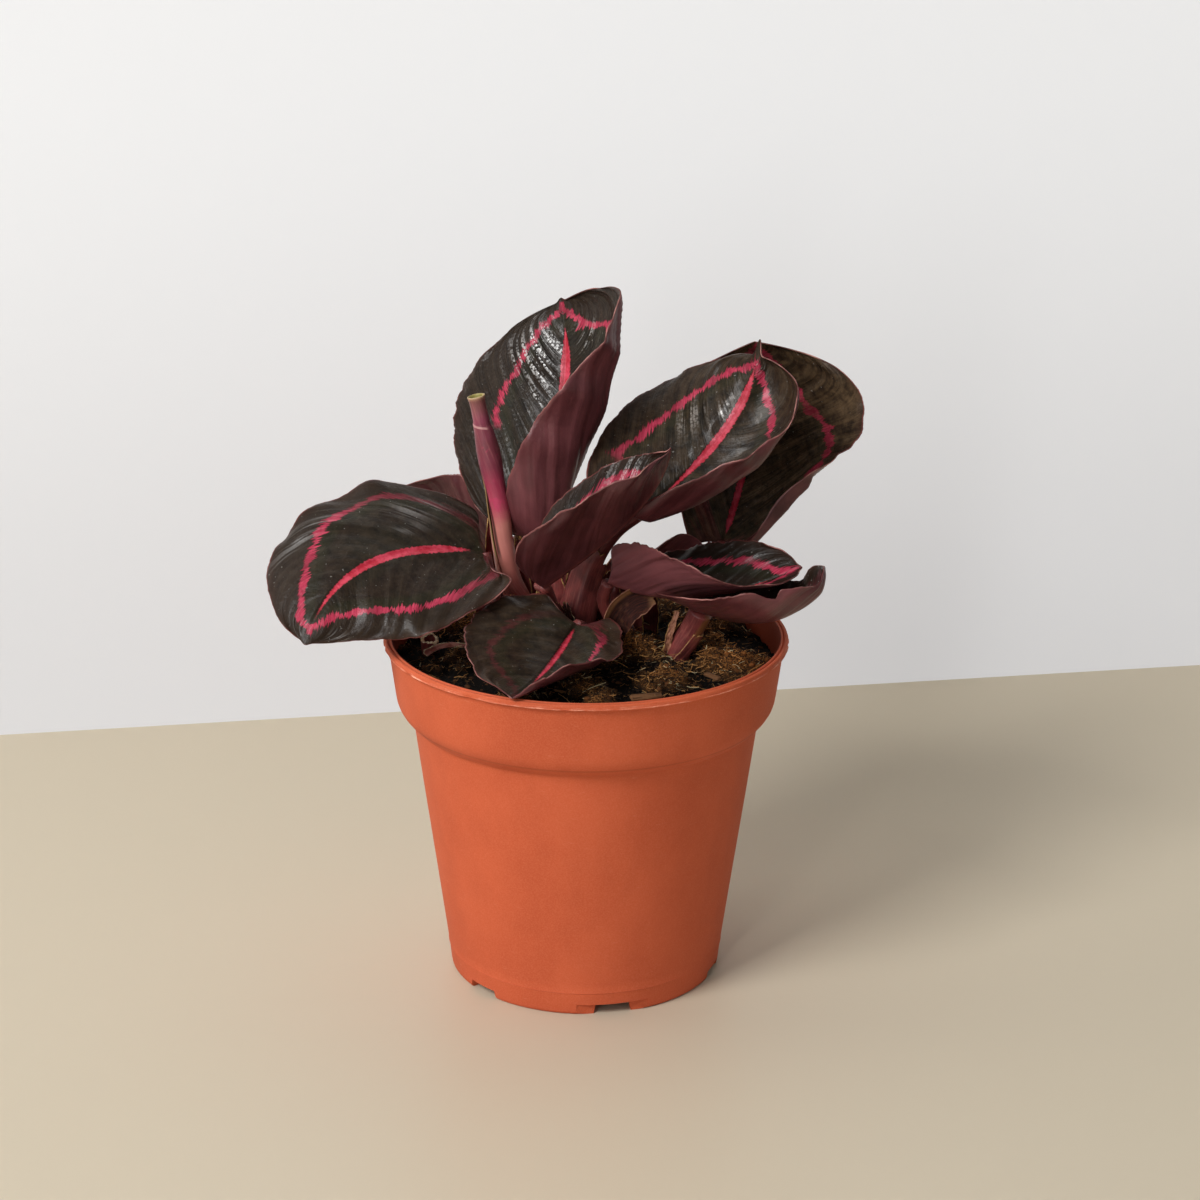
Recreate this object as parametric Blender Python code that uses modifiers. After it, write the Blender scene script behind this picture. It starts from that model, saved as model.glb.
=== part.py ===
"""Potted calathea: a young prayer plant with patterned leaves in a terracotta-coloured nursery pot.

The pot stands on z = 0, and +X is to the right of someone who looks along +Y. Sizes are in
millimetres, counted from the pot's axis; MM turns them into Blender's metres.
"""

import math

import bmesh
import bpy
from mathutils import Matrix, Vector

MM = 0.001

# Driving dimensions
POT_HEIGHT = 92.0
RIM_RADIUS = 52.5
LIP_WIDTH = 2.2  # the flat top of the rim
FOOT_RADIUS = 35.7
FOOT_WIDTH = 2.4
COLLAR_DROP = 21.8  # from the rim down to the crease where the collar meets the wall
CREASE_RADIUS = 45.1
WALL = 1.2
FLOOR_HEIGHT = 4.0  # underside of the pot's floor
NOTCH_HEIGHT = 2.4  # openings in the foot that let water out
NOTCH_WIDTH = 11.0
NOTCH_ANGLES = [-48, 12, 72, 132, 192, 252]  # degrees from the front, to the right
STEP_HEIGHT = 3.0  # the wider recess around every second notch
STEP_WIDTH = 20.0
STEP_DEPTH = 1.2
CUTTER_DEPTH = 8.0  # more than the foot's width
DRAIN_RADIUS = 3.0
DRAIN_CIRCLE = 24.0
SOIL_EDGE = 84.0  # height of the soil at the wall
SOIL_MOUND = 4.0  # how much higher it is in the middle
BLADE_THICKNESS = 0.7
SEAT_DEPTH = 5.0  # how deep a stem stands in the soil
BLADE_JOINT = 1.4  # a stem ends this far short of the blade's base
GAP = 0.3  # between two pieces that touch
SOCKET_GAP = 0.45  # around a stem's foot

# The leaves reach further to the left than to the right, so the pot's axis stands this far to
# the right of the frame's origin, which is the middle of the whole plant.
POT_AXIS_X = 4.5

TURN_STEPS = 64
BLADE_ROWS = 14
BLADE_COLUMNS = 10
STEPS_PER_SPAN = 3  # pieces of a stem between two points of its route

# base colour, roughness
FINISHES = {
    "terracotta_plastic": ((0.55, 0.13, 0.045), 0.5),
    "potting_mix": ((0.05, 0.028, 0.014), 0.95),
    "leaf_skin": ((0.035, 0.035, 0.02), 0.35),
    "stem_skin": ((0.16, 0.02, 0.025), 0.45),
    "young_leaf_skin": ((0.4, 0.05, 0.09), 0.4),
    "dry_skin": ((0.11, 0.04, 0.03), 0.8),
}

# One entry for each leaf. Its midrib runs from base through middle to tip. facing is the
# direction that its upper side looks in, at the base and at the tip. Left and right are as seen
# by someone who looks at the upper side with the tip up: width is the widest reach of each half,
# fold the angle in degrees at which it leaves the midrib and curl how far it bends on its way to
# the margin, each at the base and at the tip. lobe is how far the margins reach back past the
# base, and outline rounds the blade towards the base and the tip: small is blunt. stem is where
# the stem leaves the soil, then the points it passes on its way up to the blade, and stem_radius
# its radius at both ends.
LEAVES = {
    "left": dict(
        base=(-26, 3.5, 112.5), middle=(-55, -11, 114), tip=(-70, -26, 98.5),
        facing=((-0.25, -0.7, 0.65), (-0.3, -0.75, 0.45)),
        width=(26, 26.5), fold=((20, -15), (-5, 5)), curl=((20, -30), (-30, -15)),
        lobe=6, outline=(0.5, 0.65),
        stem=((-19, -1), (-20.5, -1, 93), (-24, 0.5, 103)), stem_radius=(1.9, 1.3),
    ),
    "tall": dict(
        base=(-19, 15.5, 115.5), middle=(-7, 31, 143), tip=(-7, 45, 169),
        facing=((-0.15, -1, 0.05), (-0.15, -1, 0.15)),
        width=(31.5, 41.5), fold=((-15, -10), (15, 20)), curl=((-10, -20), (220, 40)),
        lobe=0.5, outline=(0.45, 0.4),
        stem=((-13, 18), (-14.5, 17, 97), (-17.5, 15.5, 107)), stem_radius=(2.2, 1.6),
    ),
    "right_front": dict(
        base=(13.5, 0.5, 124), middle=(34.5, 10.5, 142.5), tip=(43.5, 15.5, 162),
        facing=((-0.3, -0.9, 0.4), (-0.3, -0.9, 0.4)),
        width=(26.5, 28), fold=((0, -20), (5, -40)), curl=((0, -25), (165, 100)),
        lobe=9, outline=(0.35, 0.5),
        stem=((-2.5, 8), (-2, 8, 96), (1.5, 7, 109), (7, 4, 118)), stem_radius=(5.2, 1.7),
    ),
    "right_back": dict(
        base=(36, 25, 110), middle=(44.5, 42, 136.5), tip=(43.5, 32, 162.5),
        facing=((0.05, -0.95, 0), (-0.1, -0.9, 0.35)),
        width=(24.5, 35.5), fold=((5, 10), (20, 20)), curl=((5, 10), (100, 10)),
        lobe=9, outline=(0.5, 0.3),
        stem=((30.5, -1.5), (31.5, 2, 92), (34, 14, 100), (34.5, 21.5, 106)), stem_radius=(2.2, 1.6),
    ),
    "folded": dict(
        base=(-10.5, -13, 108.5), middle=(12, -19, 130), tip=(20.5, -20, 146.5),
        facing=((-0.75, 0.1, 0.6), (-0.75, 0.1, 0.6)),
        width=(19, 21.5), fold=((40, 20), (45, 15)), curl=((30, 25), (25, 25)),
        lobe=1, outline=(0.3, 0.65),
        stem=((-8, 1.5), (-8.5, 1, 97), (-10.5, -2, 105), (-12, -8, 107.5)), stem_radius=(2.0, 1.4),
    ),
    "front": dict(
        base=(-2.5, -9, 97.5), middle=(-9.5, -29, 93), tip=(-17.5, -49.5, 93),
        facing=((0.15, -0.4, 0.9), (0.05, -0.25, 0.95)),
        width=(17, 23.5), fold=((10, 5), (15, 0)), curl=((15, 75), (0, 5)),
        lobe=7, outline=(0.5, 0.65),
        stem=((1, -3), (0.5, -4, 92), (-1, -6.5, 96)), stem_radius=(1.7, 1.3),
    ),
    "low_right": dict(
        base=(5.5, -4, 107), middle=(27.5, -7.5, 105.5), tip=(54, -8.5, 112.5),
        facing=((0, 0.15, 1), (0, 0.05, 1)),
        width=(18.5, 20.5), fold=((15, 30), (50, -5)), curl=((20, 25), (50, 10)),
        lobe=4.5, outline=(0.45, 0.45),
        stem=((10, 2), (8.5, 1, 92), (4.5, -1.5, 101)), stem_radius=(2.4, 1.7),
    ),
    "lowest_right": dict(
        base=(26.5, -9, 102), middle=(47.5, -17, 101.5), tip=(61, -14, 113),
        facing=((0.05, 0, 1), (0.1, -0.1, 0.95)),
        width=(13, 19), fold=((5, 5), (25, 25)), curl=((5, 5), (0, 80)),
        lobe=10, outline=(0.35, 0.7),
        stem=((24.5, -7.5), (25, -8, 92), (25.2, -8.6, 97)), stem_radius=(3.3, 1.7),
    ),
    "left_back": dict(
        base=(-25, 28, 106.5), middle=(-39, 36.5, 110), tip=(-52.5, 37.5, 118.5),
        facing=((0, 1, 0.3), (0, 1, 0.3)),
        width=(17, 14), fold=((5, -10), (0, 0)), curl=((5, -10), (0, 0)),
        lobe=1.5, outline=(0.45, 0.6),
        stem=((-18, 24), (-19.5, 25, 95), (-22, 26.5, 102)), stem_radius=(1.8, 1.3),
    ),
    "small_back": dict(
        base=(13, 18, 105), middle=(23.5, 20.5, 106.5), tip=(31.5, 19, 108),
        facing=((0, 1, 0.3), (0, 1, 0.3)),
        width=(8, 8.5), fold=((0, 0), (-25, 5)), curl=((0, 0), (-30, 5)),
        lobe=0, outline=(0.45, 0.6),
        stem=((8, 18), (8.5, 18, 94), (10.5, 17.5, 101)), stem_radius=(1.5, 1.1),
    ),
}

# The youngest leaf is still rolled up: its route from the soil up, and its radius at each point.
ROLLED_ROUTE = ((-13.5, 10), (-16, 9.5, 95), (-19.5, 9.5, 103.5), (-22.5, 9.5, 125), (-28.5, 10, 152.5))
ROLLED_RADII = (2.8, 3.1, 3.3, 3.0, 2.0)
ROLLED_BORE = 1.3
ROLLED_BORE_DEPTH = 6.0

# The stump of a leaf that was cut off, and two old sheaths: one lies on the soil, one leans on it.
STUMP_ROUTE = ((-40.5, 4), (-40.8, 4.2, 87), (-41.2, 4.5, 89.5))
STUMP_RADIUS = 2.0
FALLEN_SHEATH = ((-43, -5), (-38, -1.5), (-33, 1), (-28, 2.5))
FALLEN_RADIUS = 1.2
DRY_SHEATH = dict(
    base=(13, -5, 88.5), middle=(15.5, -4, 96), tip=(20, -2, 101),
    facing=((-0.6, 0.7, 0.3), (-0.6, 0.6, 0.4)),
    width=(6, 6), fold=((10, 10), (10, 10)), curl=((50, 30), (50, 30)),
    lobe=0, outline=(0.4, 0.5),
)


def mix(start, end, share):
    """Value at a share of the way from start to end."""
    return start + (end - start) * share


def material(name):
    """The named finish as a Principled material, made once."""
    found = bpy.data.materials.get(name)
    if found:
        return found
    colour, roughness = FINISHES[name]
    made = bpy.data.materials.new(name)
    made.use_nodes = True
    shader = made.node_tree.nodes["Principled BSDF"]
    shader.inputs["Base Color"].default_value = (*colour, 1)
    shader.inputs["Roughness"].default_value = roughness
    shader.inputs["Metallic"].default_value = 0
    return made


def new_object(name, data, home, finish=None):
    """An object in the collection home, placed about the pot's axis."""
    made = bpy.data.objects.new(name, data)
    home.objects.link(made)
    made.parent = axis
    if finish:
        data.materials.append(material(finish))
    return made


def make_cutter(mesh):
    """An object that cuts other pieces and isn't one itself."""
    cutter = new_object(mesh.name, mesh, cutters)
    cutter.hide_render = True
    cutter.display_type = "WIRE"
    return cutter


def cut(piece, cutter):
    """Take the cutter's shape away from a piece."""
    boolean = piece.modifiers.new("Cut " + cutter.name, "BOOLEAN")
    boolean.operation = "DIFFERENCE"
    boolean.solver = "EXACT"
    boolean.object = cutter


def turned(name, profile, finish):
    """A body turned about the Z axis from a profile of (radius, height) points."""
    mesh = bpy.data.meshes.new(name)
    points = [(radius * MM, 0, height * MM) for radius, height in profile]
    edges = [(index, index + 1) for index in range(len(points) - 1)]
    mesh.from_pydata(points, edges, [])
    body = new_object(name, mesh, parts, finish)
    screw = body.modifiers.new("Turn", "SCREW")
    screw.steps = screw.render_steps = TURN_STEPS
    screw.use_merge_vertices = True
    screw.merge_threshold = 0.00001
    return body


def cylinder_mesh(name, radius, start, end, sides=16):
    """A closed cylinder between two points."""
    start, end = Vector(start) * MM, Vector(end) * MM
    mesh = bpy.data.meshes.new(name)
    form = bmesh.new()
    bmesh.ops.create_cone(
        form, cap_ends=True, segments=sides, radius1=radius * MM, radius2=radius * MM,
        depth=(end - start).length,
    )
    turn = (end - start).to_track_quat("Z", "Y")
    bmesh.ops.rotate(form, verts=form.verts, matrix=turn.to_matrix())
    bmesh.ops.translate(form, verts=form.verts, vec=(start + end) / 2)
    form.to_mesh(mesh)
    form.free()
    return mesh


def block_mesh(name, width, height, radius, angle):
    """A block across the foot, as far above z = 0 as below, turned by angle from the front."""
    mesh = bpy.data.meshes.new(name)
    form = bmesh.new()
    bmesh.ops.create_cube(form, size=1)
    bmesh.ops.scale(form, verts=form.verts, vec=Vector((width, CUTTER_DEPTH, 2 * height)) * MM)
    bmesh.ops.translate(form, verts=form.verts, vec=(0, -radius * MM, 0))
    form.transform(Matrix.Rotation(math.radians(angle), 4, "Z"))
    form.to_mesh(mesh)
    form.free()
    return mesh


def pot_outer_side():
    """The pot's outer side from the top down, as (radius, height): lip, collar, wall and foot."""
    crease = POT_HEIGHT - COLLAR_DROP
    return [
        (RIM_RADIUS, POT_HEIGHT),
        (RIM_RADIUS, POT_HEIGHT - 1.4),
        (RIM_RADIUS - 1.3, POT_HEIGHT - 1.8),
        (RIM_RADIUS - 3, POT_HEIGHT - 15),
        (RIM_RADIUS - 3.5, crease + 4.5),
        (RIM_RADIUS - 4.9, crease + 2.1),
        (CREASE_RADIUS, crease),
        (FOOT_RADIUS + 0.9, 8),
        (FOOT_RADIUS, 0),
    ]


def pot_inner_side(clearance=0):
    """The pot's inner side from the top down, moved in by a clearance."""
    lip, _, *wall, low, foot = pot_outer_side()
    inside = [(lip[0] - LIP_WIDTH - clearance, lip[1])]
    inside += [(radius - WALL - clearance, height) for radius, height in wall + [low]]
    inside.append((FOOT_RADIUS - 0.4 - clearance, FLOOR_HEIGHT + WALL + clearance))
    return inside


def radius_at(side, height):
    """Radius of a side, given from the top down, at a height."""
    for (radius, top), (next_radius, bottom) in zip(side, side[1:]):
        if bottom <= height <= top:
            return mix(next_radius, radius, (height - bottom) / (top - bottom))


def soil_height(x, y):
    """Height of the soil's mound at a place."""
    edge = radius_at(pot_inner_side(), SOIL_EDGE)
    return SOIL_EDGE + SOIL_MOUND * (1 - (x * x + y * y) / edge**2)


def make_pot():
    """A thin pot with a stepped collar, a notched foot and drain holes in its floor."""
    floor_top = FLOOR_HEIGHT + WALL
    foot_inside = FOOT_RADIUS - FOOT_WIDTH
    profile = [(0, floor_top), *reversed(pot_inner_side()), *pot_outer_side()]
    profile += [(foot_inside, 0), (foot_inside, FLOOR_HEIGHT), (0, FLOOR_HEIGHT)]
    pot = turned("nursery_pot", profile, "terracotta_plastic")
    for index, angle in enumerate(NOTCH_ANGLES):
        notch = block_mesh(f"notch_{index}", NOTCH_WIDTH, NOTCH_HEIGHT, FOOT_RADIUS, angle)
        cut(pot, make_cutter(notch))
        if index % 2:
            radius = FOOT_RADIUS - STEP_DEPTH + CUTTER_DEPTH / 2
            cut(pot, make_cutter(block_mesh(f"step_{index}", STEP_WIDTH, STEP_HEIGHT, radius, angle)))
        turn = math.radians(angle - 90)
        x, y = DRAIN_CIRCLE * math.cos(turn), DRAIN_CIRCLE * math.sin(turn)
        ends = (x, y, FLOOR_HEIGHT - WALL), (x, y, floor_top + WALL)
        cut(pot, make_cutter(cylinder_mesh(f"drain_{index}", DRAIN_RADIUS, *ends)))
    return pot


def make_soil():
    """The mix that fills the pot, mounded in the middle, clear of the wall by the gap."""
    inside = pot_inner_side(GAP)
    edge = radius_at(inside, SOIL_EDGE)
    profile = [(edge * share, soil_height(edge * share, 0)) for share in (0, 0.25, 0.5, 0.75)]
    profile.append((edge, SOIL_EDGE))
    profile += [point for point in inside if point[1] < SOIL_EDGE]
    profile.append((0, inside[-1][1]))
    return turned("potting_soil", profile, "potting_mix")


def smooth_route(points):
    """Points along a smooth curve through the route's points (a Catmull-Rom spline)."""
    points = [Vector(point) for point in points]
    padded = [2 * points[0] - points[1], *points, 2 * points[-1] - points[-2]]
    route = []
    for before, start, end, after in zip(padded, padded[1:], padded[2:], padded[3:]):
        for step in range(STEPS_PER_SPAN):
            t = step / STEPS_PER_SPAN
            route.append(
                start
                + (end - before) * (t / 2)
                + (2 * before - 5 * start + 4 * end - after) * (t * t / 2)
                + (3 * start - before - 3 * end + after) * (t**3 / 2)
            )
    return [*route, points[-1]]


def tube(name, route, radii, finish):
    """A tube along a route that passes through radii spread evenly over it, with closed ends."""
    curve = bpy.data.curves.new(name, "CURVE")
    curve.dimensions = "3D"
    curve.bevel_depth = MM
    curve.bevel_resolution = 2
    curve.use_fill_caps = True
    spline = curve.splines.new("POLY")
    spline.points.add(len(route) - 1)
    for index, (spot, place) in enumerate(zip(spline.points, route)):
        at = index / (len(route) - 1) * (len(radii) - 1)
        low = min(int(at), len(radii) - 2)
        spot.co = (*(place * MM), 1)
        spot.radius = mix(radii[low], radii[low + 1], at - low)
    return new_object(name, curve, parts, finish)


def rooted(soil, name, route, radius):
    """The whole route of a piece that stands in the soil, which gets a socket for its foot.

    route starts with the (x, y) where the piece leaves the soil.
    """
    x, y = route[0]
    mouth = Vector((x, y, soil_height(x, y)))
    rise = (Vector(route[1]) - mouth).normalized()
    foot = mouth - rise * SEAT_DEPTH
    ends = foot - rise * GAP, mouth + rise * SEAT_DEPTH
    cut(soil, make_cutter(cylinder_mesh(name + "_socket", radius + SOCKET_GAP, *ends)))
    return [foot, mouth, *(Vector(point) for point in route[1:])]


def make_stem(soil, name, leaf):
    """A leaf's stem, from its seat in the soil to just short of the blade's base."""
    thick, thin = leaf["stem_radius"]
    forward, _, upward = blade_directions(leaf, 0)
    joint = Vector(leaf["base"]) - forward * BLADE_JOINT - upward * (BLADE_THICKNESS / 2 + 2 * GAP)
    route = [*rooted(soil, name, leaf["stem"], thick), joint]
    radii = [mix(thick, thin, max(0, index - 1) / (len(route) - 2)) for index in range(len(route))]
    return tube(name, smooth_route(route), radii, "stem_skin")


def midrib_bend(leaf):
    """Control point of the midrib's curve, which passes through base, middle and tip."""
    return 2 * Vector(leaf["middle"]) - (Vector(leaf["base"]) + Vector(leaf["tip"])) / 2


def blade_directions(leaf, along):
    """At a place along the midrib: towards the tip, to the right and out of the upper side."""
    base, bend, tip = Vector(leaf["base"]), midrib_bend(leaf), Vector(leaf["tip"])
    forward = mix(bend - base, tip - bend, along).normalized()
    facing = mix(*(Vector(side).normalized() for side in leaf["facing"]), along)
    sideways = forward.cross(facing).normalized()
    return forward, sideways, sideways.cross(forward)


def blade_point(leaf, along, across):
    """Point of a blade's middle surface.

    along runs from 0 at the base to 1 at the tip, and across from -1 at the left margin to 1 at
    the right one. From the midrib out, each half is an arc that starts at the fold's angle and
    bends by the curl's angle.
    """
    base, bend, tip = Vector(leaf["base"]), midrib_bend(leaf), Vector(leaf["tip"])
    spine = mix(mix(base, bend, along), mix(bend, tip, along), along)
    forward, sideways, upward = blade_directions(leaf, along)

    blunt, pointed = leaf["outline"]
    widest = blunt / (blunt + pointed)
    spread = (along / widest) ** blunt * ((1 - along) / (1 - widest)) ** pointed
    half = 0 if across < 0 else 1
    reach = leaf["width"][half] * spread
    fold = math.radians(mix(*leaf["fold"][half], along))
    curl = math.radians(mix(*leaf["curl"][half], along)) or 0.001
    end = fold + curl * abs(across)
    out = reach * (math.sin(end) - math.sin(fold)) / curl
    rise = reach * (math.cos(fold) - math.cos(end)) / curl
    back = leaf["lobe"] * (1 - along) ** 3 * abs(across) ** 1.5 * min(1, along / 0.04)
    return spine + sideways * math.copysign(out, across) + upward * rise - forward * back


def make_blade(name, leaf, finish):
    """A thin blade: a grid laid over the leaf's middle surface and thickened to both sides."""
    mesh = bpy.data.meshes.new(name)
    form = bmesh.new()
    bmesh.ops.create_grid(form, x_segments=BLADE_COLUMNS, y_segments=BLADE_ROWS, size=1)
    for vertex in form.verts:
        across = vertex.co.x
        along = (1 + math.sin(vertex.co.y * math.pi / 2)) / 2  # closer rows near both ends
        vertex.co = blade_point(leaf, min(max(along, 0), 1), across) * MM
    bmesh.ops.remove_doubles(form, verts=form.verts, dist=0.00001)
    form.to_mesh(mesh)
    form.free()
    mesh.shade_smooth()
    blade = new_object(name, mesh, parts, finish)
    solidify = blade.modifiers.new("Thickness", "SOLIDIFY")
    solidify.thickness = BLADE_THICKNESS * MM
    solidify.offset = 0
    return blade


def make_rolled_leaf(soil):
    """The rolled young leaf, a tube that is open at its top."""
    route = rooted(soil, "rolled_leaf", ROLLED_ROUTE, ROLLED_RADII[0])
    radii = (ROLLED_RADII[0], *ROLLED_RADII)
    draft = tube("rolled_leaf_draft", smooth_route(route), radii, None)
    evaluated = draft.evaluated_get(bpy.context.evaluated_depsgraph_get())
    mesh = bpy.data.meshes.new_from_object(evaluated)
    mesh.name = "rolled_leaf"
    form = bmesh.new()
    form.from_mesh(mesh)
    bmesh.ops.remove_doubles(form, verts=form.verts, dist=0.00001)
    form.to_mesh(mesh)
    form.free()
    bpy.data.objects.remove(draft)
    rolled = new_object("rolled_leaf", mesh, parts, "young_leaf_skin")
    top = Vector(ROLLED_ROUTE[-1])
    rise = (top - Vector(ROLLED_ROUTE[-2])).normalized()
    ends = top - rise * ROLLED_BORE_DEPTH, top + rise
    cut(rolled, make_cutter(cylinder_mesh("rolled_leaf_bore", ROLLED_BORE, *ends)))
    return rolled


def make_stump(soil):
    """The stump of a cut stem."""
    route = rooted(soil, "cut_stump", STUMP_ROUTE, STUMP_RADIUS)
    return tube("cut_stump", smooth_route(route), [STUMP_RADIUS] * 2, "stem_skin")


def make_fallen_sheath():
    """An old sheath that lies on the soil."""
    lift = FALLEN_RADIUS + GAP
    route = [Vector((x, y, soil_height(x, y) + lift)) for x, y in FALLEN_SHEATH]
    return tube("fallen_sheath", smooth_route(route), [FALLEN_RADIUS * 0.7, FALLEN_RADIUS], "dry_skin")


for old in list(bpy.data.objects):
    bpy.data.objects.remove(old)

parts = bpy.data.collections.new("potted_calathea")
cutters = bpy.data.collections.new("cutters")
for collection in (parts, cutters):
    bpy.context.scene.collection.children.link(collection)
axis = bpy.data.objects.new("pot_axis", None)
axis.location.x = POT_AXIS_X * MM
parts.objects.link(axis)

make_pot()
soil = make_soil()
for place, leaf in LEAVES.items():
    make_blade("leaf_" + place, leaf, "leaf_skin")
    make_stem(soil, "stem_" + place, leaf)
make_rolled_leaf(soil)
make_stump(soil)
make_fallen_sheath()
make_blade("dry_sheath", DRY_SHEATH, "dry_skin")
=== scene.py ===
# %% [markdown]
# # A young calathea in its nursery pot
# A calathea is sold young: ten dark leaves with a pink ring on each, some of them folded or
# still rolled, stand on burgundy stems in a thin terracotta-coloured pot. The measured solids of
# the plant and the pot are already there. This lesson gives them their looks: a finer surface
# for each piece, and a finish made of nodes.

# %% Load the measured solids
import math

import bpy
import numpy as np
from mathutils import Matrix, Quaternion, Vector, noise


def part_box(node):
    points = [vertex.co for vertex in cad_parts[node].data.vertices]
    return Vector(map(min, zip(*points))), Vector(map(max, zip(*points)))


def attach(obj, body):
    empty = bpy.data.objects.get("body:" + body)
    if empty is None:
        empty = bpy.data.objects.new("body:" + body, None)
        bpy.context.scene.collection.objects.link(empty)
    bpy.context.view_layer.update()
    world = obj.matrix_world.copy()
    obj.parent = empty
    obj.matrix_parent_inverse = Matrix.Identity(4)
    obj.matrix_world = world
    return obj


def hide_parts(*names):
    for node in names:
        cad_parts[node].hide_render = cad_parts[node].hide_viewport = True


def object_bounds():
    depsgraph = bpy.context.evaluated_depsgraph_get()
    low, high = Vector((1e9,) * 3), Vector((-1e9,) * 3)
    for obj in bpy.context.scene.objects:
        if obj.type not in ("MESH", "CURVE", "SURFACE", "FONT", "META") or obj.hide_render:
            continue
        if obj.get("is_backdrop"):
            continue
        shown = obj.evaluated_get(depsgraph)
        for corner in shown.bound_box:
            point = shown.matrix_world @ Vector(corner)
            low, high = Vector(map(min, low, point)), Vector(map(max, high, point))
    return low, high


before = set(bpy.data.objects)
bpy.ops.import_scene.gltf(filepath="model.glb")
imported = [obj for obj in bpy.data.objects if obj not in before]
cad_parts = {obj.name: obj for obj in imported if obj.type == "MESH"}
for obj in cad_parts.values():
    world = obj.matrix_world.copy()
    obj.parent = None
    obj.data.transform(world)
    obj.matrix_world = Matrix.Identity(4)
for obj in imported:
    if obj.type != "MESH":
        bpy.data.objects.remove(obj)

MM = 0.001
solid_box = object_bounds()
pot_low, pot_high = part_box("nursery_pot")
AXIS = Vector(((pot_low.x + pot_high.x) / 2, (pot_low.y + pot_high.y) / 2, 0))
POT_HEIGHT = pot_high.z / MM
# how far the pot's wall leans out for each millimetre up
WALL_SLOPE = 0.13
rim_width = (pot_high.x - pot_low.x) / MM
print("pot", round(POT_HEIGHT, 1), "mm high,", round(rim_width, 1), "mm over the rim")

# %% [markdown]
# ## Camera
# All sizes below are millimetres from the pot's axis, as a potter would give them, and one
# helper turns them into the frame's metres. The camera stands 69 cm in front of the pot and a
# little above it, with a longish lens, so that the pot's sides hardly converge. It could be aimed
# with a constraint, but a direction and a roll are clearer, and nothing stays live.

# %% Place the camera
EYE = (0, -689.9, 340.1)
LENS = 84.84
PITCH, YAW, ROLL = math.radians(19.12), math.radians(0.291), math.radians(0.367)


def at(x, y, z):
    """A place in millimetres from the pot's axis, in the frame's metres."""
    return AXIS + Vector((x, y, z)) * MM


def aim(thing, direction, roll=0):
    """Point a camera or lamp along a direction."""
    thing.rotation_mode = "QUATERNION"
    thing.rotation_quaternion = direction.to_track_quat("-Z", "Y") @ Quaternion((0, 0, 1), roll)


bpy.ops.object.camera_add(location=at(*EYE))
camera = bpy.context.object
camera.data.lens = LENS
camera.data.clip_start, camera.data.clip_end = 0.02, 20
forward = Vector((math.sin(YAW) * math.cos(PITCH), math.cos(YAW) * math.cos(PITCH), -math.sin(PITCH)))
aim(camera, forward, ROLL)
bpy.context.scene.camera = camera
bpy.context.scene.view_settings.view_transform = "Standard"
print("camera at", [round(value, 3) for value in camera.location])

# %% [markdown]
# ## Writing finishes as sums
# Every finish below is a small formula: a base colour, patches, veins, a bump. Dragging nodes by
# hand works too, but formulas are quicker to read and change. So one class wraps a node's
# output and lets Python's signs for sums add the Math nodes, and another holds a material and
# adds any other node by its type, its settings and its sockets. Colours are hexadecimal codes.

# %% A socket that does sums
def paint(code):
    """The colour that nodes use, linear and opaque, for six hexadecimal digits."""
    shades = [int(code[place : place + 2], 16) / 255 for place in (0, 2, 4)]
    return (*(((s + 0.055) / 1.055) ** 2.4 if s > 0.04 else s / 12.92 for s in shades), 1)


class Socket:
    """An output of a node, on which Python's signs add Math nodes."""

    def __init__(self, finish, output):
        self.finish, self.output = finish, output

    def sum(self, operation, *values):
        return self.finish.node("Math", dict(enumerate(values)), operation=operation)

    def __add__(self, other):
        return self.sum("ADD", self, other)

    def __sub__(self, other):
        return self.sum("SUBTRACT", self, other)

    def __rsub__(self, other):
        return self.sum("SUBTRACT", other, self)

    def __mul__(self, other):
        return self.sum("MULTIPLY", self, other)

    def __pow__(self, other):
        return self.sum("POWER", self, other)

    def __abs__(self):
        return self.sum("ABSOLUTE", self)

    __radd__, __rmul__ = __add__, __mul__


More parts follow.
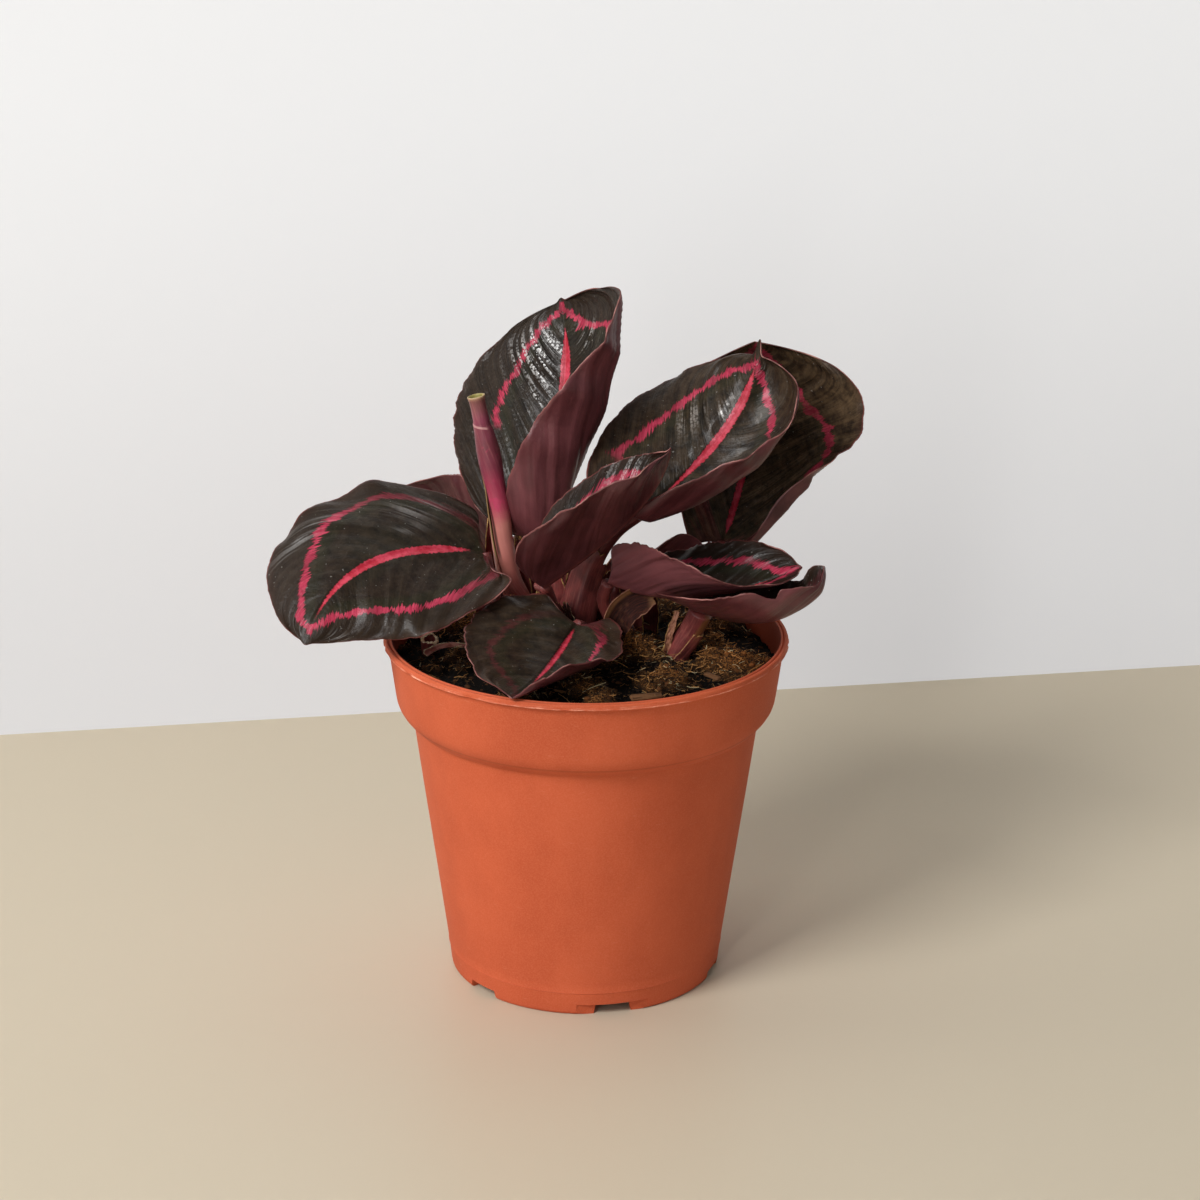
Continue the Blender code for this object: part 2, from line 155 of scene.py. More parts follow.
# %% A material that grows nodes
class Finish:
    """A material under construction, with places on the piece counted in millimetres."""

    def __init__(self, name, sockets=()):
        self.material = bpy.data.materials.new(name)
        self.material.use_nodes = True
        self.tree = self.material.node_tree
        self.shader = self.tree.nodes["Principled BSDF"]
        self.give(sockets)

    def give(self, sockets):
        """Set or link sockets of the Principled shader."""
        for name, value in dict(sockets).items():
            self.feed(self.shader.inputs[name], value)

    def feed(self, socket, value):
        """Link a socket to another, paint it by its code, or set its value."""
        if isinstance(value, Socket):
            self.tree.links.new(value.output, socket)
        else:
            socket.default_value = paint(value) if isinstance(value, str) else value

    def node(self, kind, sockets=(), out=0, stops=(), **settings):
        """Any node: its type, its settings, then the values or links of its sockets."""
        made = self.tree.nodes.new("ShaderNode" + kind)
        for name, value in settings.items():
            setattr(made, name, value)
        for place, (position, code) in enumerate(stops):
            elements = made.color_ramp.elements
            stop = elements[place] if place < 2 else elements.new(position)
            stop.position, stop.color = position, paint(code)
        for name, value in dict(sockets).items():
            self.feed(made.inputs[name], value)
        return Socket(self, made.outputs[out])

    def place(self):
        """The place on the object, in millimetres."""
        spot = self.node("TexCoord", out="Object")
        return self.node("VectorMath", {0: spot, "Scale": 1 / MM}, operation="SCALE")

    def split(self, vector):
        """The three numbers of a vector."""
        return [self.node("SeparateXYZ", {0: vector}, out=axis) for axis in "XYZ"]

    def from_axis(self):
        """The place in millimetres from the pot's axis, as three numbers."""
        x, y, z = self.split(self.place())
        return x - AXIS.x / MM, y - AXIS.y / MM, z

    def attribute(self, name):
        """The three values that a mesh keeps at each corner under a name."""
        return self.split(self.node("Attribute", out="Vector", attribute_name=name))

    def stretch(self, vector, factors):
        return self.node("VectorMath", {0: vector, 1: factors}, operation="MULTIPLY")

    def noise(self, vector, scale, detail=2, roughness=0.5):
        """Soft patches between 0 and 1, about 1 / scale apart."""
        sockets = {"Vector": vector, "Scale": scale, "Detail": detail, "Roughness": roughness}
        return self.node("TexNoise", sockets)

    def grain(self, x, y, z=0, detail=2, roughness=0.5):
        """Soft patches over three numbers, about 1 apart."""
        return self.noise(self.node("CombineXYZ", {0: x, 1: y, 2: z}), 1, detail, roughness)

    def span(self, value, low, high, start=0, end=1):
        """A smooth step from start to end while value goes from low to high."""
        sockets = {0: value, 1: low, 2: high, 3: start, 4: end}
        return self.node("MapRange", sockets, interpolation_type="SMOOTHSTEP")

    def layers(self, colour, *layers):
        """Colours laid over a first one.

        A layer is a colour and its strength, and then, where it comes in gradually, a value and
        the low and high ends of its smooth step.
        """
        for over, strength, *limits in layers:
            share = self.span(*limits, 0, strength) if limits else strength
            sockets = {0: share, 6: colour, 7: over}
            colour = self.node("Mix", sockets, out=2, data_type="RGBA")
        return colour

    def bump(self, height, depth, normal=None, strength=1):
        """Relief: height from 0 to 1 stands for depth millimetres."""
        sockets = {"Height": height, "Distance": depth * MM, "Strength": strength}
        if normal:
            sockets["Normal"] = normal
        return self.node("Bump", sockets)


def flecked(name, surface, patches, limits, colours, relief=0):
    """A finish of two colours in patches.

    surface is its roughness and gloss, patches what noise() needs, and limits where the second
    colour starts and is full.
    """
    finish = Finish(name, dict(zip(("Roughness", "Specular IOR Level"), surface)))
    flecks = finish.noise(finish.place(), *patches)
    finish.give({"Base Color": finish.layers(colours[0], (colours[1], 1, flecks, *limits))})
    if relief:
        finish.give({"Normal": finish.bump(flecks, relief)})
    return finish


# %% [markdown]
# ## Table, wall and light
# The pot stands on a beige, slightly satin table that meets a white wall. A soft window lamp
# hangs in front to the left, at 41 degrees, and a tall, weak reflector in front puts a sheen on
# the waxy leaves. The world fills the shadows, and more lamps would flatten the pot. For the
# camera, the wall also glows a little, more towards its top. It only has a front: from behind,
# it lets the camera look through it, so the plant can be seen from every side.

# %% Table and wall
def empty_hands():
    """Leave edit mode and select nothing, because an operator acts on all that is selected."""
    if bpy.context.mode == "EDIT_MESH":
        bpy.ops.object.mode_set(mode="OBJECT")
    bpy.ops.object.select_all(action="DESELECT")


STUDIO = 4


def panel(name, place, finish, turn=(0, 0, 0)):
    """A flat square of the studio, STUDIO metres wide."""
    empty_hands()
    bpy.ops.mesh.primitive_plane_add(size=STUDIO, location=place, rotation=turn)
    made = bpy.context.object
    made.name = made.data.name = name
    bpy.ops.object.transform_apply(location=True, rotation=True, scale=True)
    made.data.materials.append(finish.material)
    made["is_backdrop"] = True


WALL_LEFT, WALL_RIGHT = at(-188.4, 155.8, 0), at(212.2, 225.6, 0)
table_paint = Finish("table", {"Base Color": "cdc1aa", "Roughness": 0.42, "IOR": 1.4})
wall_paint = Finish("wall", {"Base Color": "eeeff1", "Roughness": 0.9})
height = wall_paint.split(wall_paint.place())[2]
shade = wall_paint.layers("dbdadb", ("ffffff", 1, height, 0, 230))
glow = wall_paint.node("Emission", {"Color": shade, "Strength": 1.0})
from_camera = wall_paint.node("LightPath", out="Is Camera Ray")
painted = Socket(wall_paint, wall_paint.shader.outputs[0])
front = wall_paint.node("MixShader", {0: from_camera * 0.5, 1: painted, 2: glow})
from_behind = wall_paint.node("NewGeometry", out="Backfacing")
clear = wall_paint.node("BsdfTransparent")
shown = wall_paint.node("MixShader", {0: from_behind, 1: front, 2: clear})
wall_paint.feed(wall_paint.tree.nodes["Material Output"].inputs["Surface"], shown)

panel("table", at(0, 0, 0), table_paint)
run = WALL_RIGHT - WALL_LEFT
wall_middle = (WALL_LEFT + WALL_RIGHT) / 2
wall_turn = (math.radians(90), 0, math.atan2(run.y, run.x))
# its lower edge lies 1 cm below the table's top
panel("wall", wall_middle + Vector((0, 0, STUDIO / 2 - 0.01)), wall_paint, wall_turn)
print("wall stands", round(wall_middle.y, 3), "m behind the frame's middle")

# %% Lamps and world
def softbox(name, side, height, distance, size, energy):
    """A soft lamp aimed at the plant, at angles to the side and up, in degrees."""
    side, height = math.radians(side), math.radians(height)
    level = math.cos(height)
    towards = Vector((math.sin(side) * level, -math.cos(side) * level, math.sin(height)))
    bpy.ops.object.light_add(type="AREA", location=at(0, 0, 100) + towards * distance)
    lamp = bpy.context.object
    lamp.name = name
    lamp.data.shape = "RECTANGLE"
    lamp.data.size, lamp.data.size_y = size
    lamp.data.energy = energy
    aim(lamp, -towards)


softbox("window", side=-45, height=41, distance=2.2, size=(0.8, 0.8), energy=36)
softbox("reflector", side=-20, height=14, distance=2.0, size=(0.2, 1.3), energy=8)
world = bpy.context.scene.world or bpy.data.worlds.new("World")
bpy.context.scene.world = world
world.use_nodes = True
sky = world.node_tree.nodes["Background"]
sky.inputs["Color"].default_value = paint("f4f4f6")
sky.inputs["Strength"].default_value = 0.24
print("world strength", round(sky.inputs["Strength"].default_value, 2))

# %% [markdown]
# ## Plastic of the pot
# The pot is injection-moulded and coloured through, so it has no coat: a matte skin with a fine
# grain, faint cloudy patches from the mould and a few pale scuffs. An image would repeat; noise
# on the object's own coordinates goes round the pot without a seam.

# %% Terracotta plastic
plastic = Finish("terracotta_plastic", {"Specular IOR Level": 0.12})
spot = plastic.place()
clouds = plastic.noise(plastic.stretch(spot, (1, 1, 0.6)), 0.045, 4, 0.6)
grain = plastic.noise(spot, 2.6, 3, 0.7)
scuffs = plastic.noise(plastic.stretch(spot, (0.35, 0.35, 2.2)), 0.5, 5, 0.75)
x, y, z = plastic.from_axis()
radius = (x * x + y * y) ** 0.5
# the inside of the collar above the soil, darkened as painted shade, and the mould flash round the lip,
# lightened as a painted highlight
inside = plastic.span(radius - z * WALL_SLOPE, 38.7, 38.4) * plastic.span(z, 72, 74)
painted_flash_highlight = plastic.span(radius, 52.25, 52.4) * plastic.span(z, 90.4, 90.6)
shade = plastic.layers(
    "bd5535",
    ("cb5f3d", 1, clouds, 0.3, 0.7),
    ("e58a66", 0.22, grain, 0.35, 0.75),
    ("e3997b", 0.25, scuffs, 0.62, 0.74),
    # painted shade on the inside of the collar
    ("6e2412", inside * 0.75),
    # painted highlight on the mould flash
    ("f6b498", painted_flash_highlight * plastic.span(scuffs, 0.45, 0.65, 0.1, 0.85)),
)
relief = plastic.bump(grain, 0.03)
relief = plastic.bump(clouds, 0.5, relief, 0.5)
plastic.give({"Base Color": shade, "Roughness": 0.56 + clouds * 0.12, "Normal": relief})
print("plastic has", len(plastic.tree.nodes), "nodes")

# %% [markdown]
# ## The pot
# A thin wall flares up to a stepped collar and a rolled lip. Spinning a drawn profile would do,
# but building it ring by ring from a circle, as a potter pulls up a wall, keeps each ring of
# points on one radius: extrude, scale, repeat. The foot's notches are cut afterwards.

# %% Pull up the pot, ring by ring
TURN_STEPS = 192
# (radius, height) of each ring: the lip's outside with its mould flash, the collar, the tapered
# wall and the foot; then the inside from the lip to the floor, and the hollow under the foot
outer_side = [
    (51.25, 91.4), (51.35, 91.8), (51.55, 91.95), (51.95, 91.95), (52.2, 91.75), (52.3, 91.3),
    (52.3, 90.95), (52.5, 90.85), (52.5, 90.65), (52, 90.5), (51.35, 90.3), (51.2, 89.6),
    (50.2, 82), (49.6, 77.5), (49.3, 75.6), (48.9, 74.4), (48.2, 73.2), (47.3, 72.1),
    (46.4, 71.25), (45.75, 70.75), (45.35, 70.45), (45.1, 70.1), (45.0, 69.4), (42.4, 50),
    (39.5, 29), (36.85, 9.5), (36.5, 6.75), (36.55, 6.6), (36.55, 6.35), (36.4, 6.2),
    (35.85, 1.2), (35.7, 0.5), (35.3, 0.1), (34.9, 0),
]
inner_side = [
    (51.1, 91.4), (50.95, 91.85), (50.75, 92), (50.4, 91.95), (50.25, 91.6), (50.05, 90),
    (48.35, 77), (47.8, 74.7), (46.4, 72.3), (43.9, 70.2), (35.4, 8), (35.3, 5.8), (34.6, 5.2),
    (20, 5.2), (0.5, 5.2),
]
foot_ring = [(33.6, 0), (33.3, 0.3), (33.3, 4), (20, 4), (0.5, 4)]


def pull_up(name, rings):
    """A round body built from a circle, which is extruded and scaled from ring to ring."""
    empty_hands()
    radius, height = rings[0]
    start = at(0, 0, height)
    bpy.ops.mesh.primitive_circle_add(vertices=TURN_STEPS, radius=radius * MM, location=start)
    body = bpy.context.object
    body.name = body.data.name = name
    bpy.ops.object.mode_set(mode="EDIT")
    for (wide, low), (next_wide, high) in zip(rings, rings[1:]):
        rise = {"value": (0, 0, (high - low) * MM)}
        bpy.ops.mesh.extrude_region_move(TRANSFORM_OT_translate=rise)
        ratio = next_wide / wide
        bpy.ops.transform.resize(value=(ratio, ratio, 1), center_override=at(0, 0, high))
    return body


def settle(piece):
    """Finish in edit mode: join doubles, close holes, point every face outwards, keep its place."""
    empty_hands()
    bpy.context.view_layer.objects.active = piece
    piece.select_set(True)
    bpy.ops.object.mode_set(mode="EDIT")
    bpy.ops.mesh.select_all(action="SELECT")
    bpy.ops.mesh.remove_doubles(threshold=0.001 * MM)
    bpy.ops.mesh.fill_holes(sides=0)
    bpy.ops.mesh.select_all(action="SELECT")
    bpy.ops.mesh.normals_make_consistent(inside=False)
    bpy.ops.object.mode_set(mode="OBJECT")
    bpy.ops.object.transform_apply(location=True, rotation=True, scale=True)


pot = pull_up("pot", inner_side[::-1] + outer_side + foot_ring)
settle(pot)
print("pot has", len(pot.data.polygons), "faces")


# %% Cut the holes and notches that let water out of the foot
NOTCH = dict(width=11, height=2.4, radius=35.7, depth=8, taper=0.8)
STEP_OVER_NOTCH = dict(width=20, height=3, radius=38.5, depth=8, taper=0.94)
HOLE_RADIUS, HOLES_REACH = 3, 24


def apply_modifiers(piece):
    """Bake every modifier of a piece into its mesh."""
    empty_hands()
    bpy.context.view_layer.objects.active = piece
    piece.select_set(True)
    for modifier in list(piece.modifiers):
        bpy.ops.object.modifier_apply(modifier=modifier.name)


def wedge(width, height, radius, depth, taper, angle):
    """A block through the foot, narrower at its top, turned from the front by an angle."""
    empty_hands()
    bpy.ops.mesh.primitive_cube_add(size=1, location=at(0, -radius, 0))
    block = bpy.context.object
    block.scale = Vector((width, depth, 2 * height)) * MM
    bpy.ops.object.mode_set(mode="EDIT")
    bpy.ops.mesh.select_all(action="DESELECT")
    bpy.ops.object.mode_set(mode="OBJECT")
    for corner in block.data.vertices:
        corner.select = corner.co.z > 0
    bpy.ops.object.mode_set(mode="EDIT")
    bpy.ops.transform.resize(value=(taper, 1, 1), center_override=at(0, -radius, height))
    bpy.ops.object.mode_set(mode="OBJECT")
    bpy.ops.object.transform_apply(location=False, rotation=False, scale=True)
    offset = block.location - AXIS
    offset.rotate(Quaternion((0, 0, 1), math.radians(angle)))
    block.location = AXIS + offset
    block.rotation_euler.z = math.radians(angle)
    return block


cutters = []
for index, angle in enumerate((-48, 12, 72, 132, 192, 252)):
    cutters.append(wedge(angle=angle, **NOTCH))
    if index % 2:
        cutters.append(wedge(angle=angle, **STEP_OVER_NOTCH))
    turn = math.radians(angle - 90)
    empty_hands()
    hole = at(HOLES_REACH * math.cos(turn), HOLES_REACH * math.sin(turn), 4.6)
    bpy.ops.mesh.primitive_cylinder_add(
        vertices=32, radius=HOLE_RADIUS * MM, depth=4 * MM, location=hole
    )
    cutters.append(bpy.context.object)
for cutter in cutters:
    boolean = pot.modifiers.new("Notch", "BOOLEAN")
    boolean.operation = "DIFFERENCE"
    boolean.solver = "EXACT"
    boolean.object = cutter
apply_modifiers(pot)
for cutter in cutters:
    bpy.data.objects.remove(cutter)
print("cut", len(cutters), "holes and notches")

# %% Give the lip its mould flash, and dress the pot
LIP_RADIUS, FLASH_RADIUS, FLASH_HEIGHT = 51.4, 52.4, 90.5
FLASH_WORN, LIP_WORN = 0.014, 0.003
for corner in pot.data.vertices:
    radius = (corner.co - AXIS).xy.length / MM
    if radius > LIP_RADIUS and corner.co.z / MM > FLASH_HEIGHT:
        ragged = noise.noise(corner.co * 420) + 0.6 * noise.noise(corner.co * 1500)
        pull = 1 - max(0.0, ragged) * (FLASH_WORN if radius > FLASH_RADIUS else LIP_WORN)
        corner.co.x = AXIS.x + (corner.co.x - AXIS.x) * pull
        corner.co.y = AXIS.y + (corner.co.y - AXIS.y) * pull
pot.data.materials.clear()
pot.data.materials.append(plastic.material)
empty_hands()
pot.select_set(True)
bpy.context.view_layer.objects.active = pot
bpy.ops.object.shade_smooth_by_angle(angle=math.radians(38))
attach(pot, "root")
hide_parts("nursery_pot")
print("pot has", len(pot.data.polygons), "faces with its notches")

# %% [markdown]
# ## Laying a grid on a curved surface
# Leaves, stems and the rolled leaf are all thin skins that bend in two directions. Sculpting
# them would be hard to repeat, and a curve's bevel can't flatten or fold. So each starts as a
# flat grid whose corners a formula moves into place, as cloth is laid over a form. The mesh keeps
# a few sets of numbers at each corner, most of them in millimetres, which the finishes read.

# %% Lay a grid, and dress a piece
def lay(name, columns, rows, shape):
    """A grid primitive laid on a surface.

    shape takes the grid's across (-1 to 1) and along (0 to 1) and returns the places, in
    millimetres from the pot's axis, and the attributes to keep, by name.
    """
    empty_hands()
    bpy.ops.mesh.primitive_grid_add(x_subdivisions=columns, y_subdivisions=rows, size=2)
    piece = bpy.context.object
    piece.name = piece.data.name = name
    flat = np.empty(len(piece.data.vertices) * 3)
    piece.data.vertices.foreach_get("co", flat)
    flat = flat.reshape(-1, 3)
    places, kept = shape(flat[:, 0], np.clip(flat[:, 1] / 2 + 0.5, 0, 1))
    places = places * MM + np.array(AXIS)
    piece.data.vertices.foreach_set("co", places.ravel())
    for label, values in kept.items():
        keep(piece.data, label, values)
    piece.data.update()
    return piece


def keep(mesh, label, values):
    """Keep three numbers at each corner of a mesh, for a finish to read."""
    layer = mesh.attributes.new(label, "FLOAT_VECTOR", "POINT")
    layer.data.foreach_set("vector", values.astype(np.float32).ravel())


def dress(piece, finishes, thickness=0, offset=0, rim=2, replaced=()):
    """Give a skin its finishes and its thickness in millimetres, and put it on the plant.

    The finishes are those of the front, the back and the rim, as many as it has, and rim says
    which the rim takes. With an offset of -1, the skin thickens on its back only.
    """
    for finish in finishes:
        piece.data.materials.append(finish.material)
    if thickness:
        solid = piece.modifiers.new("Thickness", "SOLIDIFY")
        solid.thickness = thickness * MM
        solid.offset = offset
        solid.material_offset = min(1, len(finishes) - 1)
        solid.material_offset_rim = min(rim, len(finishes) - 1)
        apply_modifiers(piece)
    piece.data.shade_smooth()
    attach(piece, "root")
    if replaced:
        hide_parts(*replaced)
    print(piece.name, "has", len(piece.data.polygons), "faces")


def unit(vectors):
    return vectors / np.linalg.norm(vectors, axis=-1, keepdims=True)


def step(value, low, high):
    """0 below low, 1 above high, smooth between."""
    share = np.clip((value - low) / (high - low), 0, 1)
    return share * share * (3 - 2 * share)


def ripple(first, second, seed):
    """Smooth noise between about -1 and 1 over two arrays."""
    spots = zip(first.tolist(), second.tolist())
    return np.array([noise.noise((a, b, seed * 7.31)) for a, b in spots]) * 1.6


def hill(value, middle, wide):
    """1 at the middle, and nearly 0 from twice the width on."""
    return np.exp(-(((value - middle) / wide) ** 2))


# %% [markdown]
# ## The shape of a blade
# A midrib runs from the base through a middle point to the tip. From it, each half leaves at a
# fold angle and bends on by a curl angle, so the same formula gives a flat leaf, a cupped one and
# one with a rolled margin. Side veins lift the blade between them in small ridges, the margins
# ruffle, and the tip is drawn out to a point. The solids were made from nearly the same numbers.

# %% The ten leaves
# base, middle and tip of the midrib; facing of the upper side, and then width, fold and curl for
# the left and the right half, as seen from above with the tip up, where two values stand for the
# base and the tip; lobe is how far the margins reach back, and outline rounds the base and the
# tip. stem: where it leaves the soil, and its route to the base, or to the joint if it has one;
# stem_radius: at the soil and at the blade.
LEAVES = {
    "left": dict(
        base=(-26, 3.5, 112.5), middle=(-55, -11, 114), tip=(-70, -26, 98.5),
        facing=((-0.25, -0.7, 0.65), (-0.3, -0.75, 0.45)),
        width=(26, 26.5), fold=((20, -15), (-5, 5)), curl=((20, -30), (-30, -15)),
        lobe=10.5, outline=(0.5, 0.65),
        stem=((-19, -1), (-20.5, -1, 93), (-24, 0.5, 103)), stem_radius=(1.9, 1.3),
    ),
    "tall": dict(
        base=(-18, 15.5, 113), middle=(-7, 31, 143), tip=(-7, 45, 169),
        facing=((-0.15, -1, 0.05), (-0.15, -1, 0.15)),
        width=(31.5, 41.5), fold=((-15, -10), (15, 20)), curl=((-10, -20), (220, 40)),
        lobe=0.5, outline=(0.45, 0.4),
        stem=((-13, 18), (-14.5, 17, 97), (-17.5, 15.5, 107)), stem_radius=(2.2, 1.6),
    ),
    "right_front": dict(
        base=(13.5, 0.5, 124), middle=(34.5, 10.5, 142.5), tip=(43.5, 15.5, 162),
        facing=((-0.3, -0.9, 0.4), (-0.3, -0.9, 0.4)),
        width=(26.5, 28), fold=((0, -20), (5, -40)), curl=((0, -25), (165, 100)),
        lobe=9, outline=(0.35, 0.5),
        stem=((-2.5, 8), (-2, 8, 96), (1.5, 7, 109), (7, 4, 118)), stem_radius=(5.2, 1.7),
    ),
    "right_back": dict(
        base=(36, 25, 108), middle=(44.5, 42, 136.5), tip=(43.5, 32, 162.5),
        facing=((0.05, -0.95, 0), (-0.1, -0.9, 0.35)),
        width=(24.5, 35.5), fold=((5, 10), (20, 20)), curl=((5, 10), (100, 10)),
        lobe=9, outline=(0.5, 0.3),
        stem=((27, 1), (28.5, 4, 92), (33, 14.5, 100), (34.5, 21.5, 106)), stem_radius=(2.2, 1.6),
    ),
    "folded": dict(
        base=(-10.5, -13, 108.5), middle=(12, -19, 130), tip=(20.5, -20, 146.5),
        facing=((-0.75, 0.1, 0.6), (-0.75, 0.1, 0.6)),
        width=(19, 21.5), fold=((40, 20), (45, 15)), curl=((30, 25), (25, 25)),
        lobe=1, outline=(0.3, 0.65),
        stem=((-8, 1.5), (-8.5, 1, 97), (-10.5, -2, 105), (-12, -8, 107.5)), stem_radius=(2, 1.4),
    ),
    "front": dict(
        base=(-2.5, -9, 97.5), middle=(-9.5, -29, 93), tip=(-17.5, -49.5, 93),
        facing=((0.15, -0.4, 0.9), (0.05, -0.25, 0.95)),
        width=(17, 23.5), fold=((10, 5), (15, 0)), curl=((5, 75), (0, 5)),
        lobe=7, outline=(0.5, 0.65),
        stem=((1, -3), (0.5, -4, 92), (-1, -6.5, 96)), stem_radius=(1.7, 1.3),
    ),
    "low_right": dict(
        base=(5.5, -4, 107), middle=(27.5, -7.5, 104.2), tip=(54, -8.5, 112.5),
        facing=((0, 0.15, 1), (0, 0.05, 1)),
        width=(18.5, 21.5), fold=((15, 30), (50, -5)), curl=((20, 25), (50, 10)),
        lobe=4.5, outline=(0.45, 0.45),
        stem=((10, 2), (8.5, 1, 92), (4.5, -1.5, 101)), stem_radius=(2.4, 1.7),
    ),
    "lowest_right": dict(
        base=(26.5, -9, 102), middle=(47.5, -17, 101.5), tip=(61, -14, 113),
        facing=((0.05, 0, 1), (0.1, -0.1, 0.95)),
        width=(13, 19), fold=((5, 5), (25, 25)), curl=((5, 5), (0, 80)),
        lobe=10, outline=(0.35, 0.55),
        stem=((23.3, -7.5), (24.6, -7.8, 91.5), (27.2, -8.6, 96.5)), stem_radius=(2.928, 3.05),
        joint=(29.2, -10, 101.3),
    ),
    "left_back": dict(
        base=(-25, 28, 106.5), middle=(-39, 36.5, 110), tip=(-52.5, 37.5, 118.5),
        facing=((0, 1, 0.3), (0, 1, 0.3)),
        width=(17, 14), fold=((5, -10), (0, 0)), curl=((5, -10), (0, 0)),
        lobe=1.5, outline=(0.45, 0.6),
        stem=((-18, 24), (-19.5, 25, 95), (-22, 26.5, 102)), stem_radius=(1.8, 1.3),
    ),
    "small_back": dict(
        base=(13, 18, 105), middle=(23.5, 20.5, 106.5), tip=(31.5, 19, 108),
        facing=((0, 1, 0.3), (0, 1, 0.3)),
        width=(8, 8.5), fold=((0, 0), (-25, 5)), curl=((0, 0), (-30, 5)),
        lobe=0, outline=(0.45, 0.6),
        stem=((8, 18), (8.5, 18, 94), (10.5, 17.5, 101)), stem_radius=(1.5, 1.1),
    ),
}

# %% Where each leaf's pink ring runs, and how its veins sweep forward
# Half is -1 for the left and 1 for the right one, and along is a share of the midrib.
# ring: for the left and the right half, how far out the ring lies at places along the midrib,
# both as shares; it ends at the apex. faint: strength of the ring in each half; begins: where it
# starts along each half, and before: its strength up to there. rib: where the pink of the midrib
# starts, is full, thins and ends, and half its width. looks: how brown the blade is, the ring's
# width and how deep its folds are, as shares. Then the underside's painted shading: how much
# lighter it is painted, as painted light, and below 0 how much darker, as painted shade. sheen:
# half, along, reach along, place out from the midrib, reach across and strength of a patch of
# painted sheen, silvery streaks that also get a glossy coat. sweep: how far a side vein runs
# forward on its way out, as a share of the length.
# ridges, swell, ruffle: height of the small ridges, the broad ones and the margin's, and ragged:
# how uneven the outline is, in millimetres. waves and bulges: half, along, reach, and how far the
# margin is lifted or pushed out there. base_out: how far the right half swells out at its base;
# cleft: how soon the lobes part, and lobe_soft: where they start softly. drip: length, width and
# start of the drawn-out tip; blunt: how far the apex is pulled back; hook: where the tip bends,
# and how far it goes up and back. hem: half, along, reach, width and angle of a turned margin.
RING = ((0, 0.45), (0.1, 0.6), (0.3, 0.72), (0.45, 0.68), (0.6, 0.6), (0.75, 0.45), (0.88, 0.3), (0.95, 0))
PLAIN = dict(
    ring=(RING, RING), faint=(1, 1), begins=(0, 0), before=0, rib=(0.02, 0.2, 0.5, 0.96, 1.15),
    looks=(0, 1, 0.2), pale=0, sheen=(), sweep=0.5, ridges=0.28, swell=0.5, ruffle=0.9, ragged=0.8,
    waves=(), bulges=(), base_out=0, cleft=1.5, lobe_soft=0, drip=(1.5, 1.3, 0.95), blunt=0,
    hook=(0.9, 0, 0), hem=(0, 0, 1, 0, 0),
)
